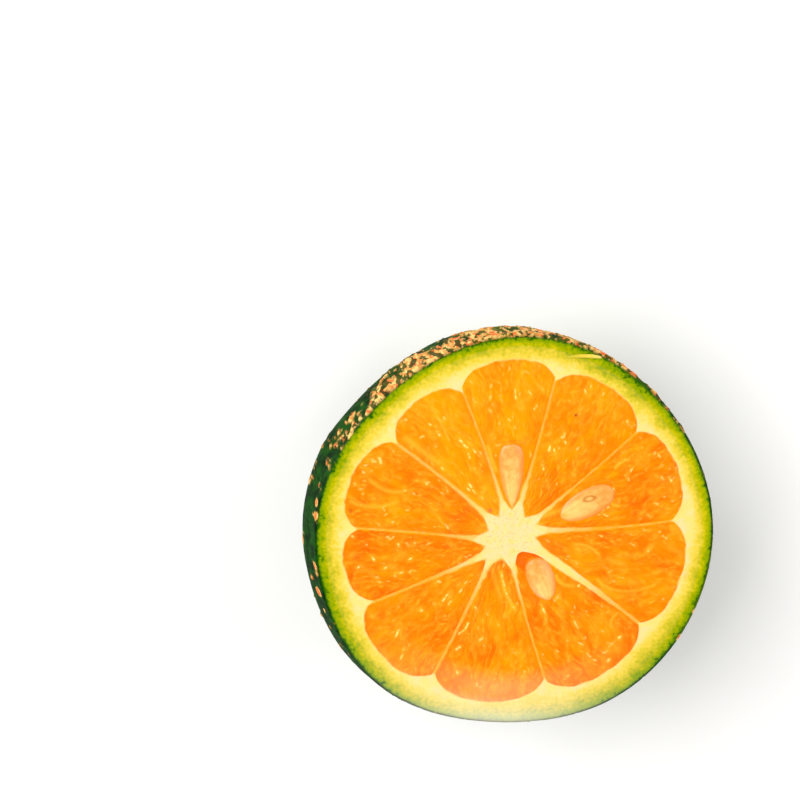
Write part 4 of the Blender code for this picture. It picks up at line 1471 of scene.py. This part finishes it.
def ring_paint(cut):
    """Cut peel: dark green, green, lime, olive, yellow and then cream, by depth below the skin.

    Noise at two sizes shifts the depth, less so next to the skin, and a painted whitish haze of
    light lies over the lowest part.
    """
    shift = cut.sums("ADD", cut.waver(0.44, 2.0 * MM, 3.0, 0.6), cut.waver(0.26, 0.5 * MM))
    depth = cut.read("depth")
    near = cut.times(shift, cut.stretch(depth, 0.04, 0.2, 0.3, 1.0))
    body = cut.ramp(
        cut.sums("ADD", depth, near),
        (0.05, "cut_dark"),
        (0.1, "cut_green"),
        (0.19, "cut_lime"),
        (0.3, "cut_olive"),
        (0.45, "cut_yellow"),
        (0.66, "pith_cream"),
    )
    return cut.over(body, ("bloom", "bloom"))


def pith_material(colours):
    """Dull cream pith, yellow next to the skin, flecked in the core, stained by juice outwards."""
    pith = Finish("rangpur_pith", colours)
    core = pith.read("core")
    whiter = pith.stretch(pith.grain(1.6 * MM, 4.0, 0.6), 0.42, 0.66, 0.0, 0.8)
    inner = pith.times(whiter, pith.stretch(pith.read("depth"), 0.45, 0.7))
    body = pith.mix(inner, ring_paint(pith), "core_pale")
    cloudy = pith.stretch(pith.grain(0.9 * MM, 4.0, 0.65), 0.36, 0.6, 0.1, 1.0)
    body = pith.mix(pith.times(cloudy, core), body, "core_pale")
    speck = pith.stretch(pith.grain(0.35 * MM, 3.0, 0.65), 0.54, 0.68, 0.0, 0.6)
    body = pith.mix(pith.times(speck, core), body, "core_speck")
    uneven = pith.stretch(pith.grain(0.7 * MM, 3.0, 0.6), 0.3, 0.7, 0.8, 1.0)
    body = pith.mix(pith.times(pith.read("stain"), uneven), body, "wall_orange")
    # The pockets take the painted shade colour
    body = pith.over(body, ("pocket", "shade_orange"), ("dot", "blemish"))
    pith.soften(0.35, (1.0, 0.6, 0.25), 0.6 * MM)
    fibre = pith.bump(pith.grain(0.3 * MM, 3.0, 0.6), 0.3, 0.06 * MM)
    return pith.end(body, fibre, 0.5, 0.3)


def flesh_material(colours):
    """Wet translucent flesh: juice of three depths, pale membranes, creamy torn sacs and painted
    highlights.

    Its rim takes the colour of the pith and walls beside it.
    """
    flesh = Finish("rangpur_flesh", colours)
    tone = flesh.sums("ADD", flesh.read("tone"), flesh.waver(0.5, 0.6 * MM, 3.0))
    body = flesh.ramp(tone, (0.0, "flesh_deep"), (0.5, "flesh"), (1.0, "flesh_light"))
    # Pale membranes, painted shade in the hollow and round the seeds, and dark marks
    body = flesh.over(body, ("pale", "flesh_pale"), ("deep", "shade_orange"), ("mark", "blemish"))
    # Painted highlights in cream, then a small red mark
    body = flesh.over(body, ("glint", "glint"), ("red", "crust_red"))
    wall = flesh.over("pith_cream", ("stain", "wall_orange"))
    # Rim colours of walls and pith, then the painted whitish haze of light along the lowest part
    body = flesh.over(body, ("side", wall), ("end", "pith_cream"), ("bloom", "bloom"))
    flesh.soften(0.45, (1.0, 0.3, 0.08), 0.6 * MM)
    flesh.wet(0.06, 0.08)
    return flesh.end(body, flesh.bump(flesh.grain(0.45 * MM), 0.35, 0.06 * MM), 0.3, 0.05)


def seed_material(colours):
    """Smooth damp seed coat, orange towards its sides, paler and yellower at its pointed end."""
    seed = Finish("rangpur_seed", colours)
    streak = seed.grain(0.9 * MM, 4.0, 0.6)
    body = seed.mix(seed.stretch(streak, 0.35, 0.65, 0.0, 0.6), "seed", "seed_pale")
    body = seed.over(body, ("pale", "seed_pale", 0.8), ("tail", "wall_orange", 0.7))
    body = seed.over(body, ("eye", "seed_eye", 0.85), ("tint", "seed_edge", 0.7))
    seed.soften(0.5, (1.0, 0.5, 0.2), 1.0 * MM)
    seed.wet(0.3, 0.12)
    return seed.end(body, seed.bump(streak, 0.2, 0.06 * MM), 0.4, 0.35)


def sliver_material(colours):
    """Pale cut peel, yellow green at its free end and cream at the skin."""
    sliver = Finish("rangpur_sliver", colours)
    way = sliver.sums("ADD", sliver.read("way"), sliver.waver(0.6, 0.8 * MM, 3.0))
    body = sliver.ramp(way, (0.1, "cut_olive"), (0.5, "cut_yellow"), (0.9, "pith_cream"))
    sliver.soften(0.3, (1.0, 0.7, 0.3), 0.4 * MM)
    return sliver.end(body, sliver.bump(sliver.grain(0.25 * MM), 0.3, 0.05 * MM), 0.45)


def floor_material(colours):
    """Matt pale floor with a faint fine grain."""
    floor = Finish("rangpur_floor", colours)
    warm = (*(0.97 * value for value in floor.colour("floor")[:3]), 1.0)
    tone = floor.stretch(floor.grain(40.0 * MM), 0.3, 0.7)
    floor.feed(floor.shader, {"Base Color": floor.mix(tone, warm, "floor"), "Roughness": 0.9})
    return floor.material


class RANGPUR_OT_rind(bpy.types.Operator):
    """Make the green skin"""

    bl_idname = "rangpur.make_rind"
    bl_label = "Rind"

    def execute(self, context):
        surface = rind_surface(context.scene.rangpur_sizes)
        add_piece("rind_skin", surface, skin_material(context.scene.rangpur_colours), ("rind",))
        return {"FINISHED"}


class RANGPUR_OT_pith(bpy.types.Operator):
    """Make the cream pith with its core and walls"""

    bl_idname = "rangpur.make_pith"
    bl_label = "Pith"

    def execute(self, context):
        surface = pith_surface(context.scene.rangpur_sizes)
        add_piece("pith_body", surface, pith_material(context.scene.rangpur_colours), ("pith",))
        return {"FINISHED"}


class RANGPUR_OT_segments(bpy.types.Operator):
    """Make the ten juicy segments"""

    bl_idname = "rangpur.make_segments"
    bl_label = "Segments"

    def execute(self, context):
        material = flesh_material(context.scene.rangpur_colours)
        for index in range(len(SEGMENTS)):
            surface = flesh_surface(context.scene.rangpur_sizes, index)
            number = f"{index + 1:02d}"
            add_piece(f"segment_{number}", surface, material, (f"flesh_{number}",))
        return {"FINISHED"}


class RANGPUR_OT_seeds(bpy.types.Operator):
    """Make the three seeds"""

    bl_idname = "rangpur.make_seeds"
    bl_label = "Seeds"

    def execute(self, context):
        material = seed_material(context.scene.rangpur_colours)
        for name in SEEDS:
            surface = seed_surface(context.scene.rangpur_sizes, name)
            add_piece(f"{name}_coat", surface, material, (name,))
        return {"FINISHED"}


class RANGPUR_OT_sliver(bpy.types.Operator):
    """Make the sliver of peel on the cut"""

    bl_idname = "rangpur.make_sliver"
    bl_label = "Sliver"

    def execute(self, context):
        surface = sliver_surface(context.scene.rangpur_sizes)
        add_piece("peel_sliver", surface, sliver_material(context.scene.rangpur_colours), ())
        return {"FINISHED"}


def add_camera(size, stage):
    """A camera that sees the middle of the cut face at the given pixel.

    It is turned from straight above about a level axis, moved back along its own axis, and
    then turned off that axis so that the middle of the face lands on the pixel.
    """
    data = bpy.data.cameras.new("camera")
    data.lens = stage.lens
    data.clip_start = 10.0 * MM
    camera = bpy.data.objects.new("camera", data)
    bpy.context.scene.collection.objects.link(camera)
    level = Vector((-math.sin(stage.camera_azimuth), math.cos(stage.camera_azimuth), 0.0))
    tilt = Matrix.Rotation(stage.camera_tilt, 3, level)
    focal = stage.picture_size * stage.lens / data.sensor_width
    half = stage.picture_size / 2.0
    target = Vector(((stage.face_column - half) / focal, (half - stage.face_row) / focal, -1.0))
    aside = Vector((0.0, 0.0, -1.0)).rotation_difference(target.normalized()).to_matrix()
    place = Vector((0.0, 0.0, size.face_height)) + tilt @ Vector((0.0, 0.0, stage.camera_distance))
    camera.matrix_world = Matrix.Translation(place) @ (tilt @ aside.transposed()).to_4x4()
    bpy.context.scene.camera = camera


# Lights: azimuth and angle from straight up in degrees, distance, width, and share of the light
LIGHTS = {
    "key": (150.0, 48.0, 0.55, 0.5, 1.3),
    "fill": (20.0, 52.0, 0.6, 0.5, 0.55),
    "front": (255.0, 60.0, 0.6, 0.4, 0.35),
}

# Strength of the light that comes from all round
WORLD_SHARE = 0.28


def add_lights(size, stage):
    """Soft square lights that face the fruit, each giving its share of full daylight on it.

    A square light of power P at distance d gives P / (pi d^2), and full daylight is pi.
    """
    middle = Vector((0.0, 0.0, size.face_height))
    for name, (azimuth, angle, distance, width, share) in LIGHTS.items():
        data = bpy.data.lights.new(name, "AREA")
        data.shape = "SQUARE"
        data.size = width
        data.energy = stage.light * share * math.pi**2 * distance**2
        lamp = bpy.data.objects.new(name, data)
        bpy.context.scene.collection.objects.link(lamp)
        side = math.radians(azimuth)
        lean = math.radians(angle)
        level = math.sin(lean)
        outward = Vector((level * math.cos(side), level * math.sin(side), math.cos(lean)))
        turn = outward.to_track_quat("Z", "Y").to_matrix().to_4x4()
        lamp.matrix_world = Matrix.Translation(middle + outward * distance) @ turn
    world = bpy.data.worlds.new("soft_white")
    world.use_nodes = True
    background = world.node_tree.nodes["Background"]
    background.inputs["Color"].default_value = (1.0, 1.0, 1.0, 1.0)
    background.inputs["Strength"].default_value = stage.light * WORLD_SHARE
    bpy.context.scene.world = world


# Radius, columns and rows of the floor, and the levels of its two sides
FLOOR_RADIUS = 1.6
FLOOR_COLUMNS = 96
FLOOR_ROWS = 12
FLOOR_TOP = -0.05 * MM
FLOOR_BOTTOM = -5.0 * MM


def add_floor(colours):
    """A round pale floor just under the rest, a thin disc wound round its middle."""
    azimuth = full_turn(FLOOR_COLUMNS)
    share = np.linspace(0.0, 1.0, FLOOR_ROWS + 1)[1:, None]
    radius = np.concatenate((share, share[::-1])) * FLOOR_RADIUS
    height = np.repeat((FLOOR_BOTTOM, FLOOR_TOP), FLOOR_ROWS)[:, None] + 0.0 * azimuth
    rings = np.stack((radius * np.cos(azimuth), radius * np.sin(azimuth), height), axis=-1)
    points, faces, _ = wound_piece((0.0, 0.0, FLOOR_BOTTOM), rings, (0.0, 0.0, FLOOR_TOP), {})
    mesh = bpy.data.meshes.new("floor")
    mesh.from_pydata(points.tolist(), [], faces)
    mesh.materials.append(floor_material(colours))
    floor = bpy.data.objects.new("floor", mesh)
    bpy.context.scene.collection.objects.link(floor)


class RANGPUR_OT_stage(bpy.types.Operator):
    """Set the camera, the lights and the floor"""

    bl_idname = "rangpur.set_stage"
    bl_label = "Stage"

    def execute(self, context):
        scene = context.scene
        add_camera(scene.rangpur_sizes, scene.rangpur_stage)
        add_lights(scene.rangpur_sizes, scene.rangpur_stage)
        add_floor(scene.rangpur_colours)
        scene.view_settings.view_transform = "Standard"
        return {"FINISHED"}


class RANGPUR_PT_panel(bpy.types.Panel):
    """Sidebar panel with the sizes, the colours and one button for each group of pieces"""

    bl_idname = "RANGPUR_PT_panel"
    bl_label = "Rangpur lime"
    bl_space_type = "VIEW_3D"
    bl_region_type = "UI"
    bl_category = "Rangpur"

    def draw(self, context):
        layout = self.layout
        scene = context.scene
        for group in (scene.rangpur_sizes, scene.rangpur_colours, scene.rangpur_stage):
            box = layout.box()
            for key in group.__annotations__:
                box.prop(group, key)
        for operator in OPERATORS:
            layout.operator(operator.bl_idname)


GROUPS = {
    "rangpur_sizes": RANGPUR_PG_sizes,
    "rangpur_colours": RANGPUR_PG_colours,
    "rangpur_stage": RANGPUR_PG_stage,
}
OPERATORS = (
    RANGPUR_OT_rind,
    RANGPUR_OT_pith,
    RANGPUR_OT_segments,
    RANGPUR_OT_seeds,
    RANGPUR_OT_sliver,
    RANGPUR_OT_stage,
)


def register():
    """Make the groups, the operators and the panel known."""
    for made in (*GROUPS.values(), *OPERATORS, RANGPUR_PT_panel):
        bpy.utils.register_class(made)
    for key, group in GROUPS.items():
        setattr(bpy.types.Scene, key, PointerProperty(type=group))


def unregister():
    """Take back what register did."""
    for key in GROUPS:
        delattr(bpy.types.Scene, key)
    for made in (RANGPUR_PT_panel, *reversed(OPERATORS), *reversed(GROUPS.values())):
        bpy.utils.unregister_class(made)


def main():
    """Build every piece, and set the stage."""
    register()
    bpy.ops.rangpur.make_rind()
    bpy.ops.rangpur.make_pith()
    bpy.ops.rangpur.make_segments()
    bpy.ops.rangpur.make_seeds()
    bpy.ops.rangpur.make_sliver()
    bpy.ops.rangpur.set_stage()


if __name__ == "__main__":
    main()
